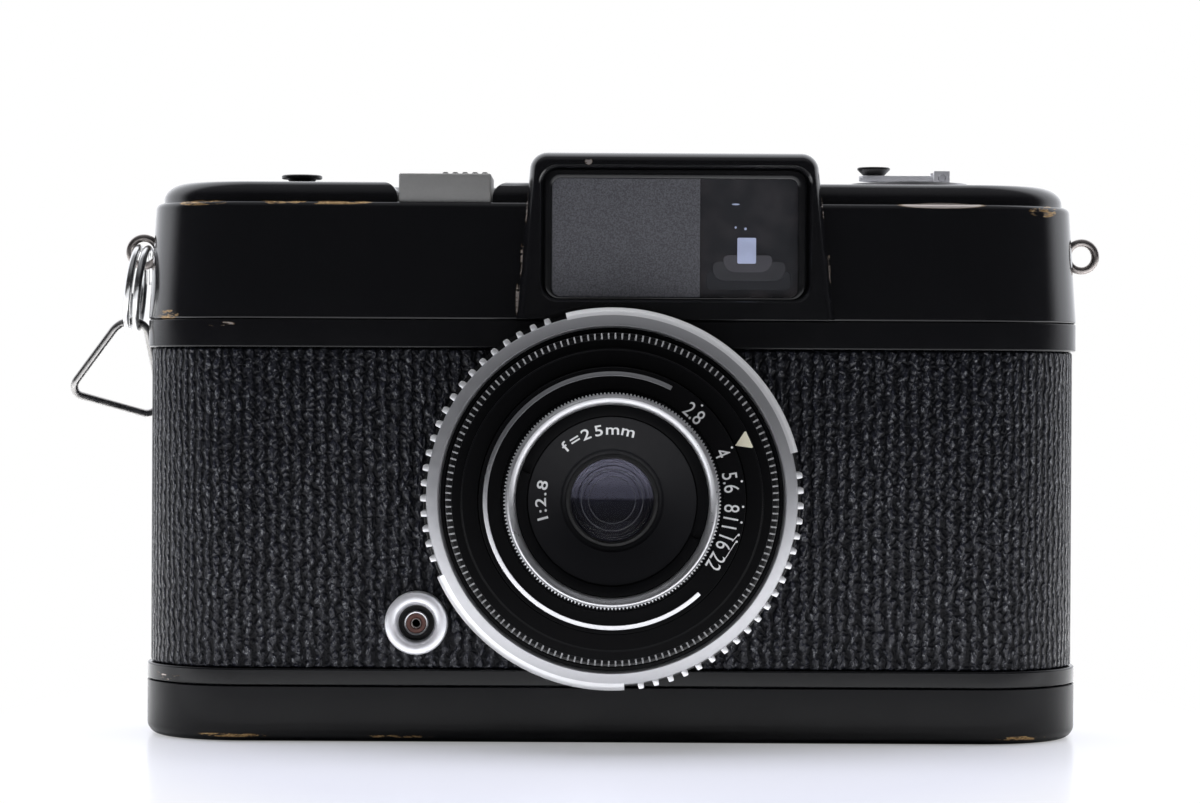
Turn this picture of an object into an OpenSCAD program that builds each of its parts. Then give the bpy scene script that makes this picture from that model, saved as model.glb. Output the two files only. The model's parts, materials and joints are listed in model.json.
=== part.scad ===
// Half frame camera with a leaf shutter lens, a thumb wheel advance and a removable back.
// The front faces -Y, +X is to the viewer's right, and the camera stands on z = 0.
// The origin is the mouth of the tripod socket.

/* [Body] */
// Width of the body across its ends
body_w = 107; // [104:0.5:112]
// Depth of the body from the front face to the rear face
body_d = 28.8; // [28.4:0.2:31]
// Radius of the body's upright corners
corner_r = 12; // [10.5:0.5:13]
// Thickness of the body casting and of the back cover
wall = 1.5; // [1.4:0.1:1.7]
// Height of the bottom tray of the back cover
tray_h = 6.3; // [6:0.1:7]
// Bare strip between the bottom tray and the leatherette
low_strip = 2; // [1.5:0.1:2.5]
// Height of the leatherette
leather_h = 36.1; // [35.5:0.1:37.5]
// Bare strip between the leatherette and the top cover
high_strip = 3.2; // [2.5:0.1:3.6]
// Depth of the recess that the leatherette lies in
leather_recess = 0.9; // [0.7:0.05:1]
// Thickness of the leatherette
leather_t = 0.5; // [0.3:0.05:0.6]
// Distance of the side seam of the back cover behind mid depth
seam_y = 2; // [1:0.5:3]

/* [Top cover] */
// Height of the top cover's upright sides
top_h = 13.3; // [12.8:0.1:14.5]
// Sheet thickness of the top cover
top_wall = 0.8; // [0.7:0.05:0.9]
// Draft of the top cover's sides, each side
top_draft = 0.8; // [0.4:0.1:0.9]
// Height of the raised plateau above the ledge
plateau_h = 2.3; // [2:0.1:2.8]
// Width of the ledge round the plateau
ledge_w = 2.2; // [1.5:0.1:2.6]
// Height of the finder housing above the plateau
hump_h = 3; // [2.5:0.1:3.5]
// Distance that the finder housing stands proud of the front face
hump_proud = 1.7; // [1.2:0.1:2]

/* [Finder] */
// Width of the finder window recess
window_w = 30; // [29:0.5:31]
// Height of the finder window recess
window_h = 14.9; // [14:0.1:15.2]
// Middle of the finder window recess, to the right of the lens
window_x = 7; // [6.5:0.1:7.5]
// Width of the clear finder glass
finder_w = 11.2; // [10:0.1:12]

/* [Lens] */
// Height of the lens axis above the floor
lens_z = 27.7; // [27.4:0.1:28.2]
// Outer radius of the shutter speed ring
speed_r = 21; // [20.6:0.1:21.3]
// Length of the shutter speed ring
speed_l = 5.7; // [5:0.1:6.5]
// Teeth in each grip of the shutter speed ring
grip_teeth = 20; // [16:1:20]
// Outer radius of the aperture ring
aperture_r = 18.4; // [18:0.1:18.6]
// Length of the aperture ring
aperture_l = 2.4; // [2:0.1:3]
// Radius of the aperture scale disc
scale_r = 14.6; // [14.2:0.1:15]
// Thickness of the aperture scale disc
scale_t = 1.4; // [1:0.1:1.8]
// Outer radius of the focus ring
focus_r = 11.76; // [11.6:0.02:12]
// Length of the focus ring
focus_l = 2.3; // [2:0.1:2.8]
// Radius of the front cell's filter mouth
filter_r = 9.3; // [9:0.1:9.5]
// Clear radius of the front lens
glass_r = 4.9; // [4.6:0.1:5.2]

/* [Controls] */
// Distance of the advance wheel and of the frame counter to the left of the lens
wheel_x = 36.3; // [35.5:0.1:37]
// Radius of the advance wheel
wheel_r = 10; // [9.5:0.1:10.5]
// Thickness of the advance wheel
wheel_t = 4; // [3:0.1:4.5]
// Radius of the rewind knob
rewind_r = 6.75; // [6.2:0.05:7.2]
// Distance of the rewind knob and the cassette from the lens plane
cassette_x = 34.4; // [34.2:0.1:36]
// Diameter of the film cassette
cassette_d = 25; // [24.6:0.1:25.2]
// Width of the shutter release
release_w = 10.4; // [9.5:0.1:11]
// Depth of the shutter release, front to back
release_d = 11; // [9:0.5:12]
// Travel of the shutter release
release_travel = 1.5; // [1:0.1:1.8]

/* [Strap lugs] */
// Height of the strap lugs' holes
lug_z = 55.5; // [54:0.1:57]
// Radius of the hole in a strap lug
lug_hole_r = 1.45; // [1.4:0.05:1.6]
// Mean radius of the split ring
split_r = 4.7; // [4.4:0.1:5]
// Wire diameter of the split ring
split_d = 0.7; // [0.6:0.02:0.72]
// Wire diameter of the triangular ring
triangle_d = 0.75; // [0.6:0.05:0.8]

/* [Fits] */
// Radial clearance of turning fits
turn_fit = 0.05; // [0.03:0.01:0.08]
// Clearance of seams and of sliding faces
seam_gap = 0.1; // [0.05:0.01:0.2]
// Running gap between turning rings
ring_gap = 0.25; // [0.15:0.05:0.3]

/* [Hidden] */
$fn = 48;
eps = 0.01;
hull_fn = 32;

// Levels and faces of the body
z_seam = tray_h;
z_leather = z_seam + low_strip;
z_strip = z_leather + leather_h;
z_top = z_strip + high_strip;
z_ledge = z_top + top_h;
z_plateau = z_ledge + plateau_h;
z_hump = z_plateau + hump_h;
y_front = -body_d / 2;
y_rear = body_d / 2;
deck_t = 1.2;
floor_t = 1.2;
neck_h = 3;
neck_inset = top_wall + top_draft * neck_h / top_h + 0.2;
neck_wall = 0.6;
z_deck = z_top + neck_h;
z_upper = z_deck - deck_t;
z_lower = z_seam + seam_gap + deck_t;
deck_inset = 0.4;
far = 200;

// Film path
film_y = 8;
gate_w = 18;
gate_h = 24;
gate_t = 1;
chamber_fit = 0.2;
chamber_x0 = cassette_x - cassette_d / 2 - chamber_fit;
partition_t = 1.2;
right_partition = chamber_x0 - partition_t;
left_partition = -20.7;
rail_h = 0.3;
rail_w = 1.2;
rail_z = [13.4, 18];
box_w = 24;
box_h = 30;
box_wall = 1.2;
box_y = -7.5;
sprocket_at = [-25.6, 4.2];
sprocket_r = 3.5;
spool_at = [-39.5, -0.5];
spool_r = 5;
spool_lip = 2.5;
spool_lip_t = 1;
spool_slot = [1.6, 1.2, 32];
end_gap = 0.4;
journal_l = 1.2;
shaft_r = 1.2;
row_z = 14;
row_w = 5;
tooth = [0.9, 1.2, 1.6];

// Depths of the lens pieces, measured forwards from mid depth
h_front = body_d / 2;
h_seat = h_front - leather_recess;
h_flange = h_front + 1;
h_speed = h_flange + ring_gap;
h_aperture = h_speed + speed_l + ring_gap;
h_scale = h_aperture + aperture_l + seam_gap;
h_face = h_scale + scale_t;
h_focus = h_face + ring_gap;
h_tip = h_focus + focus_l;
mouth_l = 1.2;
cell_inset = 0.1;
h_name = h_tip - cell_inset - mouth_l;
name_r = filter_r - 0.5;
cone_drop = 2.3;
cone_lip = 0.8;
cone_skirt = 2.6;
lens_drop = 2.2;
lens_l = 2.6;
lens_curve = 14;
case_r = 17.4;
flange_r = 19.4;
rim_r = speed_r + 0.2;
boss_r = aperture_r + 0.05;
hub_r = scale_r + 0.05;
barrel_r = 12.2;
cell_r = 10.5;
press_fit = 0.02;
cavity_r = 13.5;
h_cavity = h_seat + 0.4;
cavity_l = 3.4;
h_barrel = h_cavity + cavity_l + 0.1;
stop_r = 5.2;
h_rear = 8;
rear_r = 6.4;
rear_l = 3.2;

// Iris and shutter blades
iris_n = 5;
iris_open = 2.6;
iris_w = 4;
iris_t = 0.22;
iris_step = 0.36;
iris_lead = 68;
iris_turn = 54;
pivot_r = 11.4;
pin_r = 0.5;
h_iris = h_cavity + 1.4;
blade_t = 0.3;
blade_step = 0.45;
blade_pivot = [2, 11.8];
blade_r = 5.8;
blade_lap = 0.4;

// Grips of the shutter speed ring, each counted clockwise from its first tooth
grip_start = [201, 9.8];
grip_arc = 93;
tooth_h = 0.65;
tooth_w = 0.73;

// Sync socket
sync_at = [-21.85, 13.55];
sync_r = 3.5;
sync_bore = 2.2;
sleeve_r = 1.15;
sync_proud = 2.2;
sync_l = wall + 1.5;
sync_pin_r = 0.55;

// Finder housing and glass
hump_left = -10.1;
hump_right = 23.8;
hump_lean = 0.7;
hump_r = 1.8;
hump_base = 49.4;
hump_rear = 1.5;
recess_d = 1.3;
window_z = z_hump - 1.7 - window_h / 2;
bezel_t = 0.7;
bezel_w = 1.1;
bezel_gap = 0.1;
arch_gap = 0.5;
glass_t = 1;
tube_wall = 0.9;
tube_h = 8.2;
tube_w = finder_w - 0.4;
tube_x = window_x + window_w / 2 - bezel_w - finder_w / 2;
tube_z = window_z - 1.2;
eye_w = 9;
eye_h = 6.6;
eye_rim = 1.3;
y_recess = y_front - hump_proud + recess_d;
y_tube = y_recess + 0.7;
y_eye = y_rear - top_draft - top_wall - 0.3;
screw_x = 8;
screw_z = 2;
screw_r = 0.9;
screw_head_r = 1.6;
screw_head_t = 0.6;

// Places of the top controls
release_x = -19;
release_y = -12.9;
release_top = 0.9;
release_clear = 0.2;
release_skirt = release_travel + release_clear;
stem_r = 1.6;
stem_l = 7;
cable_r = 1.25;
cable_l = 2.6;
counter_y = 1.5;
wheel_y = 6.2;
counter_r = 8.6;
counter_t = 0.8;
counter_depth = 1;
counter_spindle = 4;
knob_r = 2.35;
knob_h = 1.2;
z_wheel = z_deck + 0.6;
wheel_slot_gap = 0.5;
rewind_y = 0;
rewind_gap = 0.3;
rewind_t = 1.1;
rewind_shaft_r = 2;
crank_w = 3.4;
crank_t = 0.6;
crank_reach = 4.1;
crank_knob_r = 1.85;
crank_knob_h = 0.9;
fork_l = 2.4;
rewind_well = 0.8;
z_rewind = z_plateau - rewind_well + rewind_gap;
hinge_x = 3.6;
hinge_r = 0.4;
knuckle_r = 0.55;
z_hinge = z_rewind + rewind_t + knuckle_r + seam_gap;
ear_t = 0.8;
ear_gap = 0.1;
ear_rise = 0.25;
knob_pin_r = 0.6;

// Strap lugs
lug_x = body_w / 2 + 1;
lug_rim = 0.6;
lug_t = 1.2;
lug_shank_w = 1.8;
lug_inside = 2.4;
split_turns = 2;
split_pitch = split_d + 0.45;
split_lean = 9;
split_start = 90;
split_apart = 8;
split_lift = 0.45;
form_sides = 6;
loop_rings = 24;
split_top = lug_z + split_lift;
split_foot = [-lug_x - 2 * split_r * sin(split_lean), 0, split_top - 2 * split_r * cos(split_lean)];

// Corners of the triangular ring and the radius they are bent to
triangle_gap = 0.8;
triangle_shift = 0.3;
corner_top = split_foot + [-triangle_shift, 0, split_d / 2 + triangle_d / 2 + triangle_gap];
corner_left = [-lug_x - 7.7, 0.6, lug_z - 15.8];
corner_rear = [-lug_x + 1.5, 8.4, lug_z - 18.9];
bend_r = 2.4;
bend_steps = 8;

// Lock of the back cover, its catch and the bush for the tripod screw
lock_x = -30;
lock_r = 6;
lock_t = 1.3;
lock_lip = 0.1;
lock_boss_r = 7.4;
lock_boss_h = 3.2;
lock_shaft_r = 1.5;
catch_l = 11;
catch_w = 3.4;
catch_t = 1;
catch_back = 0.4;
catch_boss_r = 2.6;
catch_z = lock_boss_h + 0.4;
hook_gap = 0.3;
hook_w = 3;
hook_t = 0.9;
handle_w = 7;
handle_l = 4;
handle_t = 0.7;
handle_gap = 0.2;
handle_hole_r = 1.2;
handle_pin_r = 0.25;
handle_pin_l = 0.5;
handle_pin_y = 1.65;
bush_r = 5;
bush_flange_r = 6.5;
bush_flange_t = 0.8;
socket_r = 2.55;
socket_l = 6.5;

// Pressure plate and its spring
plate_w = 38;
plate_h = 32;
plate_t = 0.8;
film_gap = 0.2;
plate_y = film_y + rail_h + film_gap;
plate_travel = 1;
spring_t = 0.3;
spring_l = 30;
spring_w = 8;

// Plan of the body, drawn in by an even margin
module plan(inset = 0) {
    w = body_w - 2 * inset;
    d = body_d - 2 * inset;
    r = corner_r - inset;
    square([w - 2 * r, d], center = true);
    square([w, d - 2 * r], center = true);
    for (sx = [-1, 1], sy = [-1, 1])
        translate([sx * (w / 2 - r), sy * (d / 2 - r)])
            circle(r);
}

// Upright slab of the body's plan
module slab(z0, z1, inset = 0) {
    translate([0, 0, z0])
        linear_extrude(z1 - z0)
            plan(inset);
}

// Upright wall that follows the body's plan between two margins
module band(z0, z1, outer, inner) {
    difference() {
        slab(z0, z1, outer);
        slab(z0 - 1, z1 + 1, inner);
    }
}

// Half space in front of, or behind, a plane across the body
module before(y) {
    translate([-far / 2, y - far, -far / 2])
        cube(far);
}

module behind(y) {
    translate([-far / 2, y, -far / 2])
        cube(far);
}

// Box from its lowest to its highest corner
module span(low, high) {
    translate(low)
        cube(high - low);
}

// Frame on the lens axis whose height runs forwards
module on_lens() {
    translate([0, 0, lens_z])
        rotate([90, 0, 0])
            children();
}

module ring(r_out, r_in, h0, h1) {
    translate([0, 0, h0])
        difference() {
            cylinder(r = r_out, h = h1 - h0);
            translate([0, 0, -1])
                cylinder(r = r_in, h = h1 - h0 + 2);
        }
}

module disc(r, h0, h1) {
    translate([0, 0, h0])
        cylinder(r = r, h = h1 - h0);
}

// Corner posts of a rounded plate, for the drafted covers
module plate_posts(x0, x1, d, r, z, inset) {
    for (x = [x0 + r, x1 - r], y = [-d / 2 + r, d / 2 - r])
        translate([x, y, z])
            cylinder(r = r - inset, h = eps, $fn = hull_fn);
}

// Outer or inner form of the drafted top cover
module top_form(z0, z1, inset, edge) {
    drawn = inset + top_draft * (z1 - edge - z_top) / top_h;
    half = body_w / 2;
    hull() {
        plate_posts(-half, half, body_d, corner_r, z0, inset);
        plate_posts(-half, half, body_d, corner_r, z1 - edge, drawn);
        plate_posts(-half, half, body_d, corner_r, z1 - 0.3 * edge, drawn + 0.3 * edge);
        plate_posts(-half, half, body_d, corner_r, z1 - eps, drawn + edge);
    }
}

module plateau_form() {
    half = body_w / 2;
    edge = 1;
    hull() {
        plate_posts(-half, half, body_d, corner_r, z_ledge - 1, ledge_w);
        plate_posts(-half, half, body_d, corner_r, z_plateau - edge, ledge_w);
        plate_posts(-half, half, body_d, corner_r, z_plateau - 0.3 * edge, ledge_w + 0.3 * edge);
        plate_posts(-half, half, body_d, corner_r, z_plateau - eps, ledge_w + edge);
    }
}

// Rounded outline of the finder housing at one depth
module hump_slice(y, inset) {
    for (s = [[hump_left, 1], [hump_right, -1]]) {
        translate([s[0] + s[1] * (hump_lean + hump_r), y, z_hump - hump_r])
            rotate([-90, 0, 0])
                cylinder(r = hump_r - inset, h = eps, $fn = hull_fn);
        translate([s[0] + s[1] * (inset - hump_lean), y, hump_base])
            cube([eps, eps, eps]);
    }
}

module hump_form() {
    edge = 0.6;
    hull() {
        hump_slice(y_front - hump_proud, edge);
        hump_slice(y_front - hump_proud + 0.3 * edge, 0.3 * edge);
        hump_slice(y_front - hump_proud + edge, 0);
        hump_slice(y_rear - hump_rear - edge, 0);
        hump_slice(y_rear - hump_rear, edge);
    }
}

// Rounded upright outline of a window, as deep as asked
module window(w, h, r, x, z, y0, y1) {
    translate([x, y1, z])
        rotate([90, 0, 0])
            linear_extrude(y1 - y0) {
                square([w - 2 * r, h], center = true);
                square([w, h - 2 * r], center = true);
                for (sx = [-1, 1], sy = [-1, 1])
                    translate([sx * (w / 2 - r), sy * (h / 2 - r)])
                        circle(r);
            }
}

// Front shell of the body: front wall and both ends, up to the side seam of the back
module main_body() {
    color("#2b2b2d")
        difference() {
            intersection() {
                difference() {
                    band(z_seam + seam_gap, z_top, 0, wall);
                    band(z_leather, z_strip, -1, leather_recess);
                }
                before(seam_y);
            }
            on_lens() {
                disc(case_r + turn_fit, h_front - 4, h_front + 1);
                disc(flange_r + press_fit, h_seat, h_front + 1);
            }
            on_sync()
                disc(sync_bore + turn_fit, h_front - 4, h_front + 1);
        }
}

// Film gate with its rails, the partitions of the two film chambers and the light box
module film_gate() {
    color("#242426")
        difference() {
            union() {
                span([left_partition, film_y - gate_t, z_lower], [chamber_x0, film_y, z_upper]);
                for (s = [-1, 1], z = rail_z)
                    span([left_partition, film_y - eps, lens_z + s * z - rail_w / 2],
                        [chamber_x0, film_y + rail_h, lens_z + s * z + rail_w / 2]);
                for (x = [left_partition, right_partition])
                    span([x, y_front + neck_inset + neck_wall, z_lower], [x + partition_t, film_y, z_upper]);
                span([-box_w / 2, box_y, lens_z - box_h / 2], [box_w / 2, film_y, lens_z + box_h / 2]);
            }
            span([-box_w / 2 + box_wall, box_y - 1, lens_z - box_h / 2 + box_wall],
                [box_w / 2 - box_wall, film_y - gate_t, lens_z + box_h / 2 - box_wall]);
            span([-gate_w / 2, film_y - gate_t - 1, lens_z - gate_h / 2],
                [gate_w / 2, film_y + 1, lens_z + gate_h / 2]);
            on_sync()
                disc(sync_bore + turn_fit, h_front - sync_l - 1, h_front);
        }
}

// Upper deck on a neck that the top cover goes over, with the bearings of the spindles
module upper_deck() {
    color("#2b2b2d")
        difference() {
            union() {
                intersection() {
                    band(z_top, z_deck, neck_inset, neck_inset + neck_wall);
                    before(seam_y);
                }
                band(z_top + seam_gap, z_deck, neck_inset, neck_inset + neck_wall);
                slab(z_upper, z_deck, neck_inset);
            }
            for (p = [[cassette_x, rewind_y], [-wheel_x, wheel_y]])
                translate([p[0], p[1], 0])
                    disc(rewind_shaft_r + turn_fit, z_upper - 1, z_deck + 1);
            for (p = [sprocket_at, spool_at])
                translate([p[0], p[1], 0])
                    disc(shaft_r + turn_fit, z_upper - 1, z_deck + 1);
            for (s = [-1, 1])
                on_screw(s)
                    disc(screw_r + press_fit, y_rear - 4, y_rear);
        }
}

// Lower deck, open under the cassette
module lower_deck() {
    z0 = z_seam + seam_gap;
    color("#2b2b2d")
        difference() {
            intersection() {
                union() {
                    intersection() {
                        slab(z0, z_lower, wall);
                        before(seam_y);
                    }
                    slab(z0, z_lower, wall + deck_inset);
                }
                span([-far, -far, 0], [chamber_x0, film_y, far]);
            }
            disc(bush_r + press_fit, z0 - 1, z_lower + 1);
            for (p = [sprocket_at, spool_at])
                translate([p[0], p[1], 0])
                    disc(shaft_r + turn_fit, z0 - 1, z_lower + 1);
        }
}

// Hook under the lower deck that the catch of the back turns over
module lock_hook() {
    reach = lock_x + catch_l + catch_back;
    z_hook = catch_z - hook_gap - hook_t;
    color("#b9babd") {
        span([reach, -catch_w / 2, z_hook], [reach + hook_t, catch_w / 2, z_seam + seam_gap]);
        span([reach - hook_w, -catch_w / 2, z_hook], [reach + eps, catch_w / 2, z_hook + hook_t]);
    }
}

module leather_band() {
    band(z_leather + seam_gap, z_strip - seam_gap, leather_recess - leather_t, leather_recess);
}

module front_leatherette() {
    color("#161616")
        difference() {
            intersection() {
                leather_band();
                before(seam_y);
            }
            on_lens()
                disc(flange_r + ring_gap, h_front - 6, h_front + 1);
            on_sync()
                disc(sync_r + ring_gap, h_front - 6, h_front + 1);
        }
}

module top_cover() {
    release_gap = 0.15;
    slot_w = 2 * sqrt(pow(wheel_r, 2) - pow(y_rear - 3 - wheel_y, 2)) + 3;
    color("#1b1b1d")
        difference() {
            union() {
                top_form(z_top, z_ledge, 0, 1);
                plateau_form();
                difference() {
                    hump_form();
                    on_lens()
                        disc(rim_r + arch_gap, h_front - 0.2, h_front + 10);
                }
            }
            top_form(z_top - 1, z_ledge - top_wall, top_wall, 0.5);
            span([hump_left + hump_lean + 2, y_front + 0.5, z_top + 2], [hump_right - hump_lean - 2,
                y_rear - hump_rear - 1.5, z_hump - 1.2]);
            window(window_w, window_h, 1.2, window_x, window_z, y_front - hump_proud - 1,
                y_front - hump_proud + recess_d);
            window(window_w - 2 * bezel_w, window_h - 2 * bezel_w, 0.6, window_x, window_z, y_front - 1,
                y_front + 3);
            window(eye_w, eye_h, 1, tube_x, tube_z, y_rear - 4, y_rear + 1);
            // Bay of the shutter release
            span([release_x - release_w / 2 - release_gap, -far, z_ledge],
                [release_x + release_w / 2 + release_gap, release_y + release_d + release_gap, far]);
            span([release_x - release_w / 2 - release_gap, release_y - release_gap, z_ledge - 3],
                [release_x + release_w / 2 + release_gap, release_y + release_d + release_gap, far]);
            // Wells of the frame counter and the rewind knob, slots of the lugs and the advance wheel
            translate([-wheel_x, counter_y, z_plateau - counter_depth])
                cylinder(r = counter_r + 0.2, h = 5);
            translate([-wheel_x, counter_y, z_ledge - 3])
                cylinder(r = shaft_r + turn_fit, h = 6);
            translate([cassette_x, rewind_y, z_ledge - 3])
                cylinder(r = rewind_shaft_r + turn_fit, h = 8);
            translate([cassette_x, rewind_y, z_plateau - rewind_well])
                cylinder(r = rewind_r + rewind_gap, h = 5);
            for (s = [-1, 1])
                lug_blank(s, press_fit);
            span([-wheel_x - slot_w / 2, y_rear - 4, z_wheel - wheel_slot_gap],
                [-wheel_x + slot_w / 2, y_rear + 1, z_wheel + wheel_t + wheel_slot_gap]);
            for (s = [-1, 1])
                on_screw(s)
                    disc(screw_r + press_fit, 0, y_rear + 1);
        }
}

// Frame of one screw of the top cover, whose height runs backwards
module on_screw(side) {
    translate([side * screw_x, 0, z_top + screw_z])
        rotate([-90, 0, 0])
            children();
}

// Two screws through the rear of the top cover into the neck of the upper deck
module cover_screws() {
    slot_w = 0.4;
    slot_d = 0.3;
    color("#c9c9c4")
        for (s = [-1, 1])
            on_screw(s)
                difference() {
                    union() {
                        disc(screw_r, y_rear - neck_inset - neck_wall, y_rear + eps);
                        disc(screw_head_r, y_rear, y_rear + screw_head_t);
                    }
                    translate([-slot_w / 2, -screw_head_r - 1, y_rear + screw_head_t - slot_d])
                        cube([slot_w, 2 * screw_head_r + 2, slot_d + 1]);
                }
}

module finder_bezel() {
    w = window_w - 2 * bezel_gap;
    h = window_h - 2 * bezel_gap;
    color("#0d0d0e")
        difference() {
            window(w, h, 1.1, window_x, window_z, y_recess - bezel_t, y_recess);
            window(window_w - 2 * bezel_w, window_h - 2 * bezel_w, 0.5, window_x, window_z, y_recess - 2,
                y_recess + 1);
        }
}

module frosted_window() {
    panel_w = window_w - 2 * bezel_w - finder_w;
    color("#33343a")
        window(panel_w - 2 * bezel_gap, window_h - 2 * bezel_w - 2 * bezel_gap, 0.5,
            window_x - window_w / 2 + bezel_w + panel_w / 2, window_z, y_recess - 0.5, y_recess + 0.3);
}

module finder_objective() {
    color("#26303a")
        window(finder_w - 2 * bezel_gap, window_h - 2 * bezel_w - 2 * bezel_gap, 0.5, tube_x, window_z,
            y_recess - 0.4, y_recess - 0.4 + glass_t);
}

module finder_tube() {
    color("#151515")
        difference() {
            window(tube_w, tube_h, 0.6, tube_x, tube_z, y_tube, y_eye);
            window(tube_w - 2 * tube_wall, tube_h - 2 * tube_wall, 0.4, tube_x, tube_z, y_tube - 1,
                y_eye + 1);
        }
}

module finder_eyepiece() {
    color("#26303a")
        window(eye_w - 2 * eye_rim - 2 * bezel_gap, eye_h - 2 * eye_rim - 2 * bezel_gap, 0.5, tube_x, tube_z,
            y_eye + seam_gap, y_eye + seam_gap + glass_t);
}

module eyepiece_frame() {
    color("#0d0d0e")
        difference() {
            union() {
                window(eye_w - 2 * bezel_gap, eye_h - 2 * bezel_gap, 0.9, tube_x, tube_z, y_eye + seam_gap,
                    y_rear);
                window(eye_w + 2, eye_h + 2, 1.4, tube_x, tube_z, y_rear, y_rear + 0.8);
            }
            window(eye_w - 2 * eye_rim, eye_h - 2 * eye_rim, 0.6, tube_x, tube_z, y_eye - 1, y_rear + 2);
        }
}

// Case of the leaf shutter: it sits on the casting and carries the two setting rings
module shutter_case() {
    color("#8a8a8c")
        on_lens()
            difference() {
                union() {
                    disc(case_r, h_rear, h_seat + eps);
                    disc(flange_r, h_seat, h_front + eps);
                    disc(rim_r, h_front, h_flange);
                    disc(boss_r, h_flange - eps, h_aperture - ring_gap);
                    disc(hub_r, h_flange, h_scale);
                }
                disc(rear_r + press_fit, h_rear - 1, h_rear + rear_l + 1);
                disc(stop_r, h_rear, h_seat + 5);
                disc(cavity_r, h_cavity, h_cavity + cavity_l);
                disc(barrel_r + press_fit, h_cavity + 1, h_scale + 1);
            }
    // Pivots of the shutter blades
    color("#8a8a8c")
        on_lens()
            for (s = [-1, 1])
                translate([s * blade_pivot[0], blade_pivot[1], 0])
                    disc(pin_r, h_cavity - eps, h_cavity + 0.2 + 2 * blade_step);
}

// Outline of the shutter speed ring with the gaps of its two grips
module speed_outline() {
    pitch = grip_arc / (grip_teeth - 1);
    gap_w = 2 * speed_r * sin(pitch / 2) - tooth_w;
    difference() {
        circle(speed_r);
        for (a = grip_start, i = [0:grip_teeth])
            rotate(a + pitch / 2 - i * pitch)
                translate([speed_r - tooth_h, -gap_w / 2])
                    square([tooth_h + 1, gap_w]);
    }
}

module speed_ring() {
    h1 = h_speed + speed_l;
    edge = 0.5;
    color("#c8c9cc")
        on_lens()
            difference() {
                intersection() {
                    translate([0, 0, h_speed])
                        linear_extrude(speed_l)
                            speed_outline();
                    rotate_extrude()
                        polygon([[0, h_speed], [speed_r + 1, h_speed], [speed_r + 1, h1 - 2 * edge - 1],
                            [speed_r - edge, h1], [0, h1]]);
                }
                disc(boss_r + turn_fit, h_speed - 1, h1 + 1);
            }
}

module aperture_ring() {
    step_r = 16.6;
    step_h = 0.4;
    h1 = h_aperture + aperture_l;
    color("#161617")
        on_lens()
            rotate_extrude()
                polygon([[hub_r + turn_fit, h_aperture], [aperture_r, h_aperture],
                    [aperture_r, h1 - 2 * step_h], [aperture_r - 0.6, h1 - step_h], [step_r, h1 - step_h],
                    [step_r, h1], [hub_r + turn_fit, h1]]);
}

module scale_disc() {
    color("#101011")
        on_lens()
            ring(scale_r, barrel_r + press_fit, h_scale, h_face);
}

// Fixed front tube: the front cell slides in it, and the iris blades hang on its pins
module lens_barrel() {
    color("#1a1a1b")
        on_lens() {
            ring(barrel_r, cell_r + turn_fit, h_barrel, h_face);
            for (k = [0:iris_n - 1])
                rotate(iris_turn + 360 / iris_n * k)
                    translate([pivot_r, 0, 0])
                        disc(pin_r, h_iris - 0.1, h_barrel + 0.2);
        }
}

module focus_ring() {
    edge = 0.5;
    r_in = cell_r;
    color("#c8c9cc")
        on_lens()
            rotate_extrude()
                polygon([[r_in, h_focus], [focus_r, h_focus], [focus_r, h_tip - edge],
                    [focus_r - edge, h_tip], [r_in, h_tip]]);
}

// Sleeve of the front cell, with two slots for a spanner in its mouth
module front_cell() {
    h0 = h_barrel + 1.2;
    h1 = h_tip - cell_inset;
    color("#131314")
        on_lens()
            difference() {
                disc(cell_r, h0, h1);
                disc(filter_r, h_name, h1 + 1);
                disc(name_r, h0 + 2.2, h1);
                disc(glass_r + 1, h0 - 1, h1);
                for (a = [-21, 159])
                    rotate(a)
                        translate([filter_r + 0.3, -0.5, h1 - 0.6])
                            cube([1.6, 1, 2]);
            }
}

module name_ring() {
    h0 = h_name - cone_drop;
    r_in = glass_r + press_fit;
    r_out = name_r - press_fit;
    skirt_r = glass_r + 0.9;
    rim = glass_r + 0.3;
    color("#3a3a3c")
        on_lens()
            rotate_extrude()
                polygon([[r_in, h0 - cone_skirt], [skirt_r, h0 - cone_skirt], [skirt_r, h0 - cone_lip],
                    [r_out, h_name - cone_lip], [r_out, h_name - press_fit], [rim, h0], [r_in, h0]]);
}

// Lens with a curved front and a flat rear
module lens_blank(r, h0, h1, curve) {
    intersection() {
        disc(r, h0, h1);
        translate([0, 0, h1 - curve])
            sphere(curve);
    }
}

module front_lens() {
    h1 = h_name - lens_drop;
    color("#5a5a86")
        on_lens()
            lens_blank(glass_r, h1 - lens_l, h1, lens_curve);
}

module rear_lens() {
    color("#5a6a86")
        on_lens()
            disc(rear_r, h_rear, h_rear + rear_l);
}

// One thin iris blade, drawn with its inner edge square to its own direction
module iris_blade(k) {
    far_end = -5;
    neck = 6.5;
    eye = 1.15;
    pivot = [pivot_r * cos(iris_lead), pivot_r * sin(iris_lead)];
    color("#3c3c3e")
        on_lens()
            translate([0, 0, h_iris + k * iris_step])
                rotate(iris_turn - iris_lead + 360 / iris_n * k)
                    linear_extrude(iris_t)
                        difference() {
                            union() {
                                polygon([[iris_open, far_end], [iris_open + iris_w, far_end],
                                    [iris_open + iris_w, neck], [pivot[0] + eye, pivot[1]],
                                    [pivot[0] - eye, pivot[1]], [iris_open, neck]]);
                                translate(pivot)
                                    circle(eye);
                            }
                            translate(pivot)
                                circle(pin_r + turn_fit);
                        }
}

module iris_blade_1() iris_blade(0);
module iris_blade_2() iris_blade(1);
module iris_blade_3() iris_blade(2);
module iris_blade_4() iris_blade(3);
module iris_blade_5() iris_blade(4);

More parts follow.
